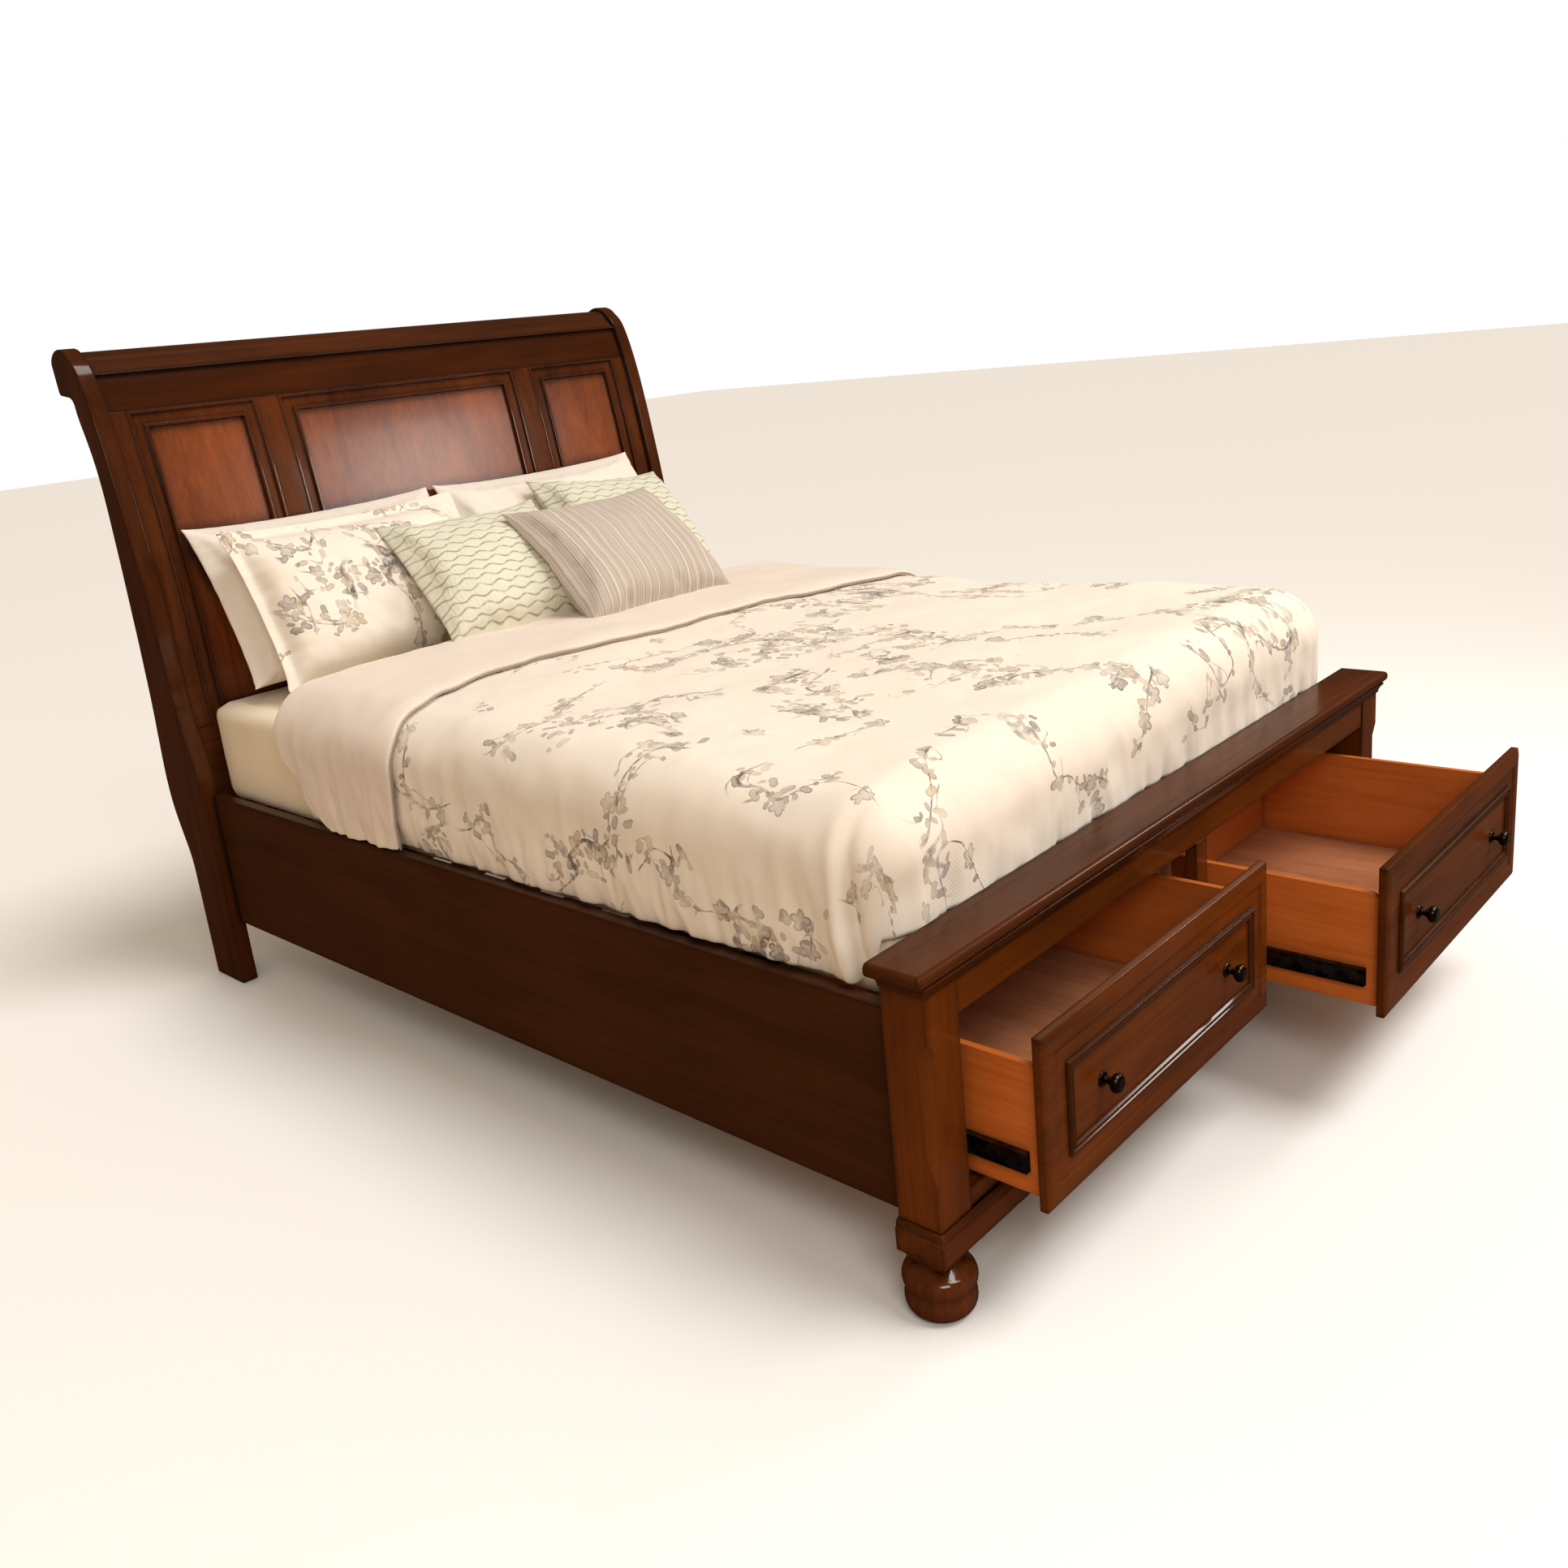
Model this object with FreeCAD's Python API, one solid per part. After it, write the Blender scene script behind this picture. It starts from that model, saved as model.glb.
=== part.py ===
"""Queen-size sleigh storage bed, dressed, with two drawers in the footboard.

Millimetres. X runs across the bed, Y from the foot to the head, Z up from the floor.
The pieces are laid out with Y = 0 at the front face of the footboard posts, and the
finished set is moved so that the origin is at the bottom centre of its whole box.
"""
import FreeCAD, Part
import os
from math import cos, radians, sin

V = FreeCAD.Vector

# ---------------------------------------------------------------- driving sizes
# mattress: a standard queen
mattress_width = 1524.0
mattress_length = 2032.0
mattress_height = 252.0
mattress_edge_radius = 38.0
mattress_side_gap = 15.0
mattress_head_gap = 7.0
mattress_foot_gap = 20.0

# side rails
rail_thickness = 25.0
rail_height = 326.0
rail_bottom = 155.0

# footboard
foot_post = 76.0
foot_post_proud = 18.0
foot_frame_top = 544.0
frame_board = 22.0
frame_setback = 3.0
cap_thickness = 22.0
cap_side_overhang = 25.0
cap_front_overhang = 14.0
cap_back_overhang = 5.0
cap_nosing = 9.0
cove_height = 20.0
cove_depth = 11.0
base_moulding_bottom = 108.0
base_moulding_height = 50.0
base_moulding_proud = 10.0
base_bead = 7.0
stile_width = 40.0
opening_bottom = 187.0
opening_top = 467.0
back_panel_thickness = 16.0

# lamb's-tongue chamfer on the outer front corner of each footboard post
tongue_low = 222.0
tongue_full_low = 285.0
tongue_full_high = 432.0
tongue_high = 458.0
tongue_width = 19.0

# turned feet
foot_block_height = 22.0
foot_block_taper = 7.0
foot_neck_radius = 33.0
foot_bead_radius = 56.0
foot_bead_height = 57.0
foot_lower_radius = 54.0
foot_lower_height = 24.0
foot_crease_radius = 50.5
foot_sole_radius = 34.0

# drawers
drawer_reveal = 6.0
drawer_front_thickness = 17.0
drawer_front_bevel = 9.0
drawer_bevel_depth = 4.0
front_frame_width = 30.0
front_pocket_depth = 3.0
drawer_box_length = 500.0
drawer_box_inset = 16.0
drawer_board = 12.0
drawer_bottom_thickness = 6.0
drawer_bottom_rise = 9.0
drawer_box_bottom = 203.0
drawer_box_top = 408.0
drawer_side_round = 22.0
front_ring_inset = 60.0
front_ring_width = 15.0
front_ring_height = 6.0
knob_spread = 200.0
knob_projection = 31.0
knob_radius = 15.0
left_drawer_open = 130.0
right_drawer_open = 306.0

# slides, one pair to a drawer
slide_space = 12.7
slide_length = 457.0
slide_steel = 1.5
slide_channel_height = 36.0
channel_lip_gap = 2.2
runner_web_gap = 1.0
slide_centre_height = 255.0
runner_clearance = 0.6
runner_front_gap = 22.0
runner_length = 440.0

# drawer case
case_board = 16.0
case_length = 560.0
case_bottom_gap = 9.0
case_headroom = 22.0
case_floor = 12.0

# slats and their support
slat_thickness = 18.0
slat_width = 76.0
slat_count = 12
slat_end_gap = 3.0
ledger_width = 22.0
ledger_height = 26.0
beam_width = 34.0
beam_height = 62.0
leg_size = 44.0
leg_count = 2
glide_radius = 18.0
glide_height = 6.0
hook_plate_height = 150.0
hook_plate_width = 30.0
hook_plate_thickness = 4.0
hook_plate_gap = 8.0

# headboard
head_post_thickness = 40.0
head_post_lap = 29.0
head_post_lead = 37.0
infill_setback = 14.0
infill_thickness = 28.0
panel_depth = 9.0
band_depth = 5.0
bead_width = 7.0
head_rail_bottom = 300.0
head_rail_top = 640.0
top_rail_bottom = 1380.0
crest_bottom = 1466.0
panel_band = 40.0
mullion_centre = 396.0
mullion_width = 62.0
outer_stile_width = 44.0
crest_step = 10.0

# bedding
comforter_thickness = 62.0
comforter_side = 26.0
comforter_foot = 10.0
comforter_top_length = 1636.0
comforter_rail_gap = 4.0
soft_gap = 1.0

# ---------------------------------------------------------------- worked-out places
rail_inner = mattress_width / 2 + mattress_side_gap
rail_outer = rail_inner + rail_thickness
rail_top = rail_bottom + rail_height
head_post_outer = rail_outer + head_post_lap
post_outer = rail_outer + foot_post_proud
post_inner = post_outer - foot_post
cap_top = foot_frame_top + cap_thickness
frame_back = frame_setback + frame_board
base_moulding_top = base_moulding_bottom + base_moulding_height
mattress_foot = foot_post + mattress_foot_gap
mattress_head = mattress_foot + mattress_length
head_rail_front = mattress_head + mattress_head_gap
drawer_front_width = post_inner - stile_width / 2 - 2 * drawer_reveal
drawer_centre = (post_inner + stile_width / 2) / 2
drawer_box_half = drawer_front_width / 2 - drawer_box_inset
case_edge = drawer_centre + drawer_box_half + slide_space + case_board
ledger_inner = max(rail_inner - ledger_width, case_edge + slat_end_gap)
case_top = drawer_box_top + case_headroom
slat_bottom = case_top
slat_top = slat_bottom + slat_thickness
mattress_bottom = slat_top
mattress_top = mattress_bottom + mattress_height
head_post_front = head_rail_front - head_post_lead
head_post_inner = head_post_outer - head_post_thickness


# ---------------------------------------------------------------- helpers
def box(x0, x1, y0, y1, z0, z1):
    return Part.makeBox(x1 - x0, y1 - y0, z1 - z0, V(x0, y0, z0))


def mirrored(shape):
    return shape.mirror(V(0, 0, 0), V(1, 0, 0))


def prism_x(wire, x0, x1):
    """A closed outline in a plane of constant X, drawn at X = 0, run from x0 to x1."""
    solid = Part.Face(wire).extrude(V(x1 - x0, 0, 0))
    solid.translate(V(x0, 0, 0))
    return solid


def polygon(points):
    return Part.makePolygon(points + [points[0]])


def line(a, b):
    return Part.LineSegment(a, b).toShape()


def arc(a, middle, b):
    return Part.Arc(a, middle, b).toShape()


def turned(profile, x, y):
    """Spin a list of (radius, height) points, closed on the axis, about a vertical axis."""
    points = [V(0, 0, profile[0][1])]
    points += [V(radius, 0, height) for radius, height in profile]
    points += [V(0, 0, profile[-1][1])]
    solid = Part.Face(polygon(points)).revolve(V(0, 0, 0), V(0, 0, 1), 360)
    solid.translate(V(x, y, 0))
    return solid


def ring_moulding(x0, x1, z0, z1, y, section):
    """A mitred ring on a face at y; section holds (inward, outward) points."""
    corner = V(x0, y, z0)
    path = polygon([corner, V(x1, y, z0), V(x1, y, z1), V(x0, y, z1)])
    middle = (x0 + x1) / 2
    outline = polygon([V(middle, y - out, z0 + inward) for inward, out in section])
    start = Part.makePolygon([V(middle, y, z0), V(x1, y, z0), V(x1, y, z1),
                              V(x0, y, z1), V(x0, y, z0), V(middle, y, z0)])
    return Part.Wire(start.Edges).makePipeShell([outline], True, False, 1)


nodes = {}


def keep(name, *solids):
    nodes[name] = solids[0] if len(solids) == 1 else Part.makeCompound(list(solids))


# ---------------------------------------------------------------- headboard
def head_front_curve(extra=0.0):
    """Front line of the sleigh curve, from the top of the leg to the scroll."""
    y = head_post_front + extra
    spline = Part.BSplineCurve()
    spline.interpolate(Points=[V(0, y, 520), V(0, y + 30, 650), V(0, y + 42, 780),
                               V(0, y + 52, 940), V(0, y + 74, 1110), V(0, y + 99, 1260),
                               V(0, y + 125, 1380), V(0, y + 151, 1460),
                               V(0, y + 187, 1508)],
                       InitialTangent=V(0, 0.05, 1), FinalTangent=V(0, 0.8, 0.6))
    return spline


def head_back_curve():
    """Back line, from the neck under the scroll down to the widest place at the rail."""
    y = head_post_front
    spline = Part.BSplineCurve()
    spline.interpolate(Points=[V(0, y + 209, 1400), V(0, y + 194, 1345), V(0, y + 172, 1270),
                               V(0, y + 160, 1150), V(0, y + 158, 980), V(0, y + 160, 800),
                               V(0, y + 169, 640), V(0, y + 179, 500), V(0, y + 172, 430),
                               V(0, y + 142, 330), V(0, y + 134, 260)],
                       InitialTangent=V(0, -0.1, -1), FinalTangent=V(0, 0, -1))
    return spline


def scroll_edges(step=0.0):
    """The rolled top: over the crown, down the back, along the lip and into the neck."""
    y = head_post_front
    front = V(0, y + 187 + step * 0.4, 1508 - step)
    crown = V(0, y + 232, 1531 - step)
    shoulder = V(0, y + 278 - step, 1515 - step)
    back_high = V(0, y + 286 - step, 1496 - step)
    back_low = V(0, y + 280 - step, 1440)
    lip = V(0, y + 268 - step, 1429)
    ledge = V(0, y + 230, 1423)
    neck = V(0, y + 209, 1400)
    bend = V(0, y + 215, 1415)
    return [arc(front, crown, shoulder),
            arc(shoulder, V(0, y + 284 - step, 1507 - step), back_high),
            line(back_high, back_low),
            arc(back_low, V(0, y + 276 - step, 1432), lip),
            line(lip, ledge),
            arc(ledge, bend, neck)]


def head_post():
    y = head_post_front
    edges = [line(V(0, y, 0), V(0, y, 520)), head_front_curve().toShape()]
    edges += scroll_edges()
    edges += [head_back_curve().toShape(),
              line(V(0, y + 134, 260), V(0, y + 134, 0)),
              line(V(0, y + 134, 0), V(0, y, 0))]
    return prism_x(Part.Wire(edges), head_post_inner, head_post_outer)


def curved_board(x0, x1, z0, z1, depth, thickness):
    """A board between two heights that follows the sleigh curve, depth behind the post's front."""
    near = head_front_curve(depth)
    far = head_front_curve(depth + thickness)
    low = V(0, head_post_front + depth, 520)
    high = V(0, head_post_front + depth + 187, 1508)
    shift = V(0, thickness, 0)
    outline = Part.Wire([near.toShape(), line(high, high + shift), far.toShape(),
                         line(low + shift, low)])
    slab = prism_x(outline, x0, x1)
    return slab.common(box(x0 - 1, x1 + 1, 0, 4000, z0, z1)).Solids[0]


def crest_rail():
    y = head_post_front
    low_front = V(0, y + 157, crest_bottom)
    front = V(0, y + 187 + crest_step * 0.4, 1508 - crest_step)
    edges = [line(low_front, front)]
    edges += scroll_edges(crest_step)[:5]
    ledge = V(0, y + 230, 1423)
    heel = V(0, y + 202, 1431)
    rebate = V(0, y + 202, crest_bottom)
    edges += [line(ledge, heel), line(heel, rebate), line(rebate, low_front)]
    return prism_x(Part.Wire(edges), -head_post_inner, head_post_inner)


def band_ring(x0, x1, z0, z1):
    """Sunk moulding round one panel: a flat band with a bead along each edge."""
    depth = infill_setback
    inner = (x0 + panel_band, x1 - panel_band, z0 + panel_band, z1 - panel_band)
    far = 4000.0
    opening = box(inner[0], inner[1], 0, far, inner[2], inner[3])
    ring = curved_board(x0, x1, z0, z1, depth + band_depth, infill_thickness - band_depth)
    for inset in (0.0, panel_band - bead_width):
        bead = curved_board(x0 + inset, x1 - inset, z0 + inset, z1 - inset,
                            depth - 1.5, band_depth + 8.0)
        hollow = inset + bead_width
        bead = bead.cut(box(x0 + hollow, x1 - hollow, 0, far, z0 + hollow, z1 - hollow))
        ring = ring.fuse(bead)
    return ring.cut(opening).removeSplitter().Solids[0]


def build_headboard():
    post = head_post()
    keep("headboard_post_right", post)
    keep("headboard_post_left", mirrored(post))
    keep("headboard_crest_rail", crest_rail())
    inner = head_post_inner
    keep("headboard_top_rail",
         curved_board(-inner, inner, top_rail_bottom, crest_bottom,
                      infill_setback, infill_thickness))
    keep("headboard_bottom_rail",
         box(-inner, inner, head_rail_front, head_rail_front + infill_thickness,
             head_rail_bottom, head_rail_top))
    stile = inner - outer_stile_width
    keep("headboard_stile_right",
         curved_board(stile, inner, head_rail_top, top_rail_bottom,
                      infill_setback, infill_thickness))
    keep("headboard_stile_left",
         curved_board(-inner, -stile, head_rail_top, top_rail_bottom,
                      infill_setback, infill_thickness))
    near = mullion_centre - mullion_width / 2
    far = mullion_centre + mullion_width / 2
    keep("headboard_mullion_right",
         curved_board(near, far, head_rail_top, top_rail_bottom,
                      infill_setback, infill_thickness))
    keep("headboard_mullion_left",
         curved_board(-far, -near, head_rail_top, top_rail_bottom,
                      infill_setback, infill_thickness))
    spans = {"left": (-stile, -far), "centre": (-near, near), "right": (far, stile)}
    rings = []
    for side, (x0, x1) in spans.items():
        rings.append(band_ring(x0, x1, head_rail_top, top_rail_bottom))
        panel = curved_board(x0 + panel_band, x1 - panel_band,
                             head_rail_top + panel_band, top_rail_bottom - panel_band,
                             infill_setback + panel_depth, infill_thickness - panel_depth)
        keep("headboard_panel_" + side, panel)
    keep("headboard_panel_mouldings", *rings)


# ---------------------------------------------------------------- footboard
def tongue_cutter():
    """Long stopped chamfer for the outer front corner of the right-hand post."""
    sections = []
    for z, size in ((tongue_low, 0.5), (tongue_full_low, tongue_width),
                    (tongue_full_high, tongue_width), (tongue_high, 0.5)):
        corner = V(post_outer, 0, z)
        reach = size + 2.0
        sections.append(polygon([corner + V(-size, -2.0, 0), corner + V(2.0, size, 0),
                                 corner + V(reach, -reach, 0)]))
    return Part.makeLoft(sections, True, True)


def foot_post_solid():
    bottom = base_moulding_bottom
    solid = box(post_inner, post_outer, 0, foot_post, bottom, foot_frame_top)
    return solid.cut(tongue_cutter()).Solids[0]


def bun_foot(x, y):
    half = foot_post / 2
    low = base_moulding_bottom - foot_block_height
    inset = half - foot_block_taper
    top = [V(x - half, y - half, base_moulding_bottom), V(x + half, y - half, base_moulding_bottom),
           V(x + half, y + half, base_moulding_bottom), V(x - half, y + half, base_moulding_bottom)]
    bottom = [V(x - inset, y - inset, low), V(x + inset, y - inset, low),
              V(x + inset, y + inset, low), V(x - inset, y + inset, low)]
    block = Part.makeLoft([polygon(bottom), polygon(top)], True, True)
    profile = [(foot_sole_radius, 0.0)]
    for step in range(9):
        angle = radians(-80 + step * 15)
        profile.append((foot_lower_radius - 14.0 + 14.0 * cos(angle),
                        foot_lower_height + 21.0 * sin(angle)))
    profile.append((foot_crease_radius, 40.0))
    for step in range(9):
        angle = radians(-45 + step * 14.5)
        profile.append((foot_bead_radius - 18.0 + 18.0 * cos(angle),
                        foot_bead_height + 19.0 * sin(angle)))
    profile.append((foot_neck_radius, low - 3.0))
    profile.append((foot_neck_radius, low + 2.0))
    return block.fuse(turned(profile, x, y)).removeSplitter().Solids[0]


def cap_slab():
    x = post_outer + cap_side_overhang
    slab = box(-x, x, -cap_front_overhang, foot_post + cap_back_overhang,
               foot_frame_top, cap_top)
    edges = []
    for edge in slab.Edges:
        centre = edge.BoundBox.Center
        outside = (abs(abs(centre.x) - x) < 0.1 or abs(centre.y + cap_front_overhang) < 0.1)
        if outside and edge.BoundBox.ZLength < 0.1:
            edges.append(edge)
    return slab.makeFillet(cap_nosing, edges)


def cap_cove():
    """Cove under the cap, along the front and back along both ends."""
    x = post_outer
    top = foot_frame_top
    path = Part.makePolygon([V(-x, foot_post, top), V(-x, 0, top), V(x, 0, top),
                             V(x, foot_post, top)])
    start = V(-x, foot_post, top)
    low = start + V(0, 0, -cove_height)
    out = V(-cove_depth, 0, 0)
    step = V(-3.0, 0, 0)
    hollow = start + V(-4.5, 0, -cove_height + 7.5)
    lip = start + out + V(0, 0, -4.0)
    section = Part.Wire([line(start, start + out), line(start + out, lip),
                         arc(lip, hollow, low + step), line(low + step, low),
                         line(low, start)])
    return path.makePipeShell([section], True, False, 1)


def base_moulding():
    """Plinth round the posts and along the front, with a bead on its top edge."""
    x = post_outer
    z = base_moulding_bottom
    proud = base_moulding_proud
    top = base_moulding_top
    path = Part.makePolygon([V(-x, foot_post, z), V(-x, 0, z), V(x, 0, z), V(x, foot_post, z)])
    start = V(-x, foot_post, z)
    points = [start, start + V(-proud, 0, 0), V(-x - proud, foot_post, top - 2 * base_bead),
              V(-x - proud + 2.5, foot_post, top - 2 * base_bead + 2.0),
              V(-x - proud + 2.5, foot_post, top - base_bead),
              V(-x - proud + 5.0, foot_post, top - 2.0),
              V(-x - 2.0, foot_post, top), V(-x, foot_post, top)]
    return path.makePipeShell([polygon(points)], True, False, 1)


def build_footboard():
    post = foot_post_solid()
    keep("footboard_post_right", post)
    keep("footboard_post_left", mirrored(post))
    keep("footboard_cap", cap_slab())
    keep("footboard_cap_cove", cap_cove())
    keep("footboard_base_moulding", base_moulding())
    inner = post_inner
    keep("footboard_top_rail",
         box(-inner, inner, frame_setback, frame_back, opening_top, foot_frame_top))
    keep("footboard_bottom_rail",
         box(-inner, inner, frame_setback, frame_back, base_moulding_bottom, opening_bottom))
    half = stile_width / 2
    keep("footboard_centre_stile",
         box(-half, half, frame_setback, frame_back, opening_bottom, opening_top))
    keep("footboard_back_panel",
         box(-inner, inner, foot_post - back_panel_thickness, foot_post,
             case_top, foot_frame_top))
    centre = post_outer - foot_post / 2
    keep("bun_foot_right", bun_foot(centre, foot_post / 2))
    keep("bun_foot_left", bun_foot(-centre, foot_post / 2))


# ---------------------------------------------------------------- drawer case and slides
def slide_channel(x_case, direction):
    """Fixed steel channel, its web on the case side at x_case, open towards the drawer."""
    y0 = foot_post
    y1 = y0 + slide_length
    z0 = slide_centre_height - slide_channel_height / 2
    z1 = z0 + slide_channel_height
    reach = slide_space - channel_lip_gap
    outer = box(min(x_case, x_case + direction * reach), max(x_case, x_case + direction * reach),
                y0, y1, z0, z1)
    hollow_start = x_case + direction * slide_steel
    hollow_end = x_case + direction * (reach + 1)
    hollow = box(min(hollow_start, hollow_end), max(hollow_start, hollow_end), y0 - 1, y1 + 1,
                 z0 + slide_steel, z1 - slide_steel)
    return outer.cut(hollow).Solids[0]


def build_case():
    half = drawer_box_half
    y0 = foot_post
    y1 = y0 + case_length
    floor = opening_bottom - case_bottom_gap - case_floor
    sides = []
    channels = []
    for centre in (-drawer_centre, drawer_centre):
        for direction in (-1, 1):
            face = centre + direction * (half + slide_space)
            outside = face + direction * case_board
            sides.append(box(min(face, outside), max(face, outside), y0, y1,
                             floor + case_floor, case_top))
            channels.append(slide_channel(face, -direction))
    keep("case_sides", *sides)
    keep("slide_channels", *channels)
    edge = case_edge
    bottom = box(-edge, edge, y0, y1, floor, floor + case_floor)
    between_posts = box(-post_inner, post_inner, frame_back, y0, floor, floor + case_floor)
    keep("case_bottom", bottom.fuse(between_posts).removeSplitter().Solids[0])
    keep("case_back", box(-edge, edge, y1, y1 + case_floor, floor, case_top))


# ---------------------------------------------------------------- rails and slats
def build_rails():
    rail = box(rail_inner, rail_outer, foot_post, head_post_front, rail_bottom, rail_top)
    keep("side_rail_right", rail)
    keep("side_rail_left", mirrored(rail))
    ledger = box(ledger_inner, rail_inner, foot_post + 10.0, head_post_front - 20.0,
                 slat_bottom - ledger_height, slat_bottom)
    keep("slat_ledgers", ledger, mirrored(ledger))
    first = foot_post + 24.0
    last = head_rail_front - 10.0 - slat_width
    slats = []
    for index in range(slat_count):
        y = first + (last - first) * index / (slat_count - 1)
        slats.append(box(-rail_inner + slat_end_gap, rail_inner - slat_end_gap, y, y + slat_width,
                         slat_bottom, slat_top))
    keep("slats", *slats)
    beam_start = foot_post + case_length + case_floor
    keep("centre_beam", box(-beam_width / 2, beam_width / 2, beam_start, head_rail_front,
                            slat_bottom - beam_height, slat_bottom))
    legs = []
    glides = []
    for index in range(leg_count):
        y = beam_start + (head_rail_front - beam_start) * (index + 0.6) / (leg_count + 0.2)
        legs.append(box(-leg_size / 2, leg_size / 2, y, y + leg_size, glide_height,
                        slat_bottom - beam_height))
        glides.append(Part.makeCylinder(glide_radius, glide_height, V(0, y + leg_size / 2, 0)))
    keep("centre_legs", *legs)
    keep("leg_glides", *glides)
    plates = []
    middle = (rail_bottom + slat_bottom - ledger_height) / 2
    for y in (foot_post + hook_plate_gap, head_post_front - hook_plate_width - hook_plate_gap):
        plates.append(box(rail_inner - hook_plate_thickness, rail_inner, y, y + hook_plate_width,
                          middle - hook_plate_height / 2, middle + hook_plate_height / 2))
    plates += [mirrored(plate) for plate in plates]
    keep("rail_hook_plates", *plates)


# ---------------------------------------------------------------- drawers
def knob(x, y, z):
    """Turned knob on the drawer face: rosette, neck and flattened ball."""
    profile = [(12.0, 0.0), (12.0, 2.0), (9.0, 4.0), (5.5, 6.0), (5.5, 11.0)]
    middle = knob_projection - 8.0
    for step in range(9):
        angle = radians(-60 + step * 17)
        profile.append((knob_radius - 9.0 + 9.0 * cos(angle), middle + 8.0 * sin(angle)))
    solid = turned(profile, 0, 0)
    solid.rotate(V(0, 0, 0), V(1, 0, 0), 90)
    solid.translate(V(x, y, z))
    return solid


def drawer_front(x0, x1, y, z0, z1):
    """Slab with a bevel round its front edge and a shallow sloped pocket; y is its front face."""
    slab = box(x0, x1, y, y + drawer_front_thickness, z0, z1)
    bevel = drawer_front_bevel
    depth = drawer_bevel_depth
    keepers = [polygon([V(x0 + inset, height, z0 + inset), V(x1 - inset, height, z0 + inset),
                        V(x1 - inset, height, z1 - inset), V(x0 + inset, height, z1 - inset)])
               for inset, height in ((0, y + depth), (bevel, y))]
    face = Part.makeLoft(keepers, True, True)
    base = box(x0, x1, y + depth, y + drawer_front_thickness, z0, z1)
    board = slab.common(face.fuse(base)).removeSplitter().Solids[0]
    sunk = [polygon([V(x0 + inset, height, z0 + inset), V(x1 - inset, height, z0 + inset),
                     V(x1 - inset, height, z1 - inset), V(x0 + inset, height, z1 - inset)])
            for inset, height in ((front_frame_width - front_pocket_depth, y - front_pocket_depth),
                                  (front_frame_width + front_pocket_depth, y + front_pocket_depth))]
    return board.cut(Part.makeLoft(sunk, True, True)).Solids[0]


def runner(x_side, direction, y0):
    """Drawer half of a slide: a steel channel on the drawer side, open outwards."""
    height = slide_channel_height - 2 * slide_steel - 2 * runner_clearance
    z0 = slide_centre_height - height / 2
    z1 = z0 + height
    reach = slide_space - slide_steel - runner_web_gap
    ends = sorted((x_side, x_side + direction * reach))
    outer = box(ends[0], ends[1], y0, y0 + runner_length, z0, z1)
    hollow = sorted((x_side + direction * slide_steel, x_side + direction * (reach + 1)))
    return outer.cut(box(hollow[0], hollow[1], y0 - 1, y0 + runner_length + 1,
                         z0 + slide_steel, z1 - slide_steel)).Solids[0]


def drawer_side(x0, x1, y0, y1):
    """Side board with its top front corner rounded off."""
    side = box(x0, x1, y0, y1, drawer_box_bottom, drawer_box_top)
    rounding = []
    for edge in side.Edges:
        centre = edge.BoundBox.Center
        if abs(centre.y - y0) < 0.1 and abs(centre.z - drawer_box_top) < 0.1:
            rounding.append(edge)
    return side.makeFillet(drawer_side_round, rounding)


def build_drawer(name, centre, opened):
    half_front = drawer_front_width / 2
    half = drawer_box_half
    face = frame_setback - opened
    back_of_front = face + drawer_front_thickness
    z0 = opening_bottom + drawer_reveal
    z1 = opening_top - drawer_reveal
    keep(name + "_drawer_front", drawer_front(centre - half_front, centre + half_front,
                                              face, z0, z1))
    field = face + front_pocket_depth
    inset = front_ring_inset
    width = front_ring_width
    height = front_ring_height
    section = [(0, 0), (0, 2.0), (2.0, height), (5.0, height), (6.5, height - 2.5),
               (8.5, height - 2.5), (10.0, height - 1.0), (12.5, height - 1.0),
               (width, 1.0), (width, 0)]
    keep(name + "_drawer_moulding",
         ring_moulding(centre - half_front + inset, centre + half_front - inset,
                       z0 + inset, z1 - inset, field, section))
    middle = (z0 + z1) / 2
    keep(name + "_drawer_knobs", *[knob(centre + side * knob_spread, field, middle)
                                   for side in (-1, 1)])
    end = back_of_front + drawer_box_length
    board = drawer_board
    keep(name + "_drawer_sides",
         drawer_side(centre - half, centre - half + board, back_of_front, end),
         drawer_side(centre + half - board, centre + half, back_of_front, end))
    keep(name + "_drawer_back", box(centre - half + board, centre + half - board, end - board, end,
                                    drawer_box_bottom, drawer_box_top))
    low = drawer_box_bottom + drawer_bottom_rise
    keep(name + "_drawer_bottom", box(centre - half + board, centre + half - board, back_of_front,
                                      end - board, low, low + drawer_bottom_thickness))
    start = back_of_front + runner_front_gap
    keep(name + "_drawer_runners", *[runner(centre + side * half, side, start)
                                     for side in (-1, 1)])


# ---------------------------------------------------------------- bedding
def mattress():
    half = mattress_width / 2
    block = box(-half, half, mattress_foot, mattress_head, mattress_bottom, mattress_top)
    return block.makeFillet(mattress_edge_radius, block.Edges)


def comforter():
    """Cover drawn over the mattress, tucked at the rails and foot, with one rounded outside."""
    half = mattress_width / 2 + soft_gap + comforter_side
    y0 = mattress_foot - soft_gap - comforter_foot
    y1 = y0 + comforter_top_length
    low = rail_top + comforter_rail_gap
    top = mattress_top + soft_gap + comforter_thickness
    block = box(-half, half, y0, y1, low, top)
    inner = mattress_width / 2 + soft_gap
    hollow = box(-inner, inner, mattress_foot - soft_gap, y1 + 1, low - 1, mattress_top + soft_gap)
    rounding = []
    for edge in block.Edges:
        centre = edge.BoundBox.Center
        if abs(centre.z - top) < 0.1:
            rounding.append(edge)
    return block.makeFillet(48.0, rounding).cut(hollow).Solids[0]


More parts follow.
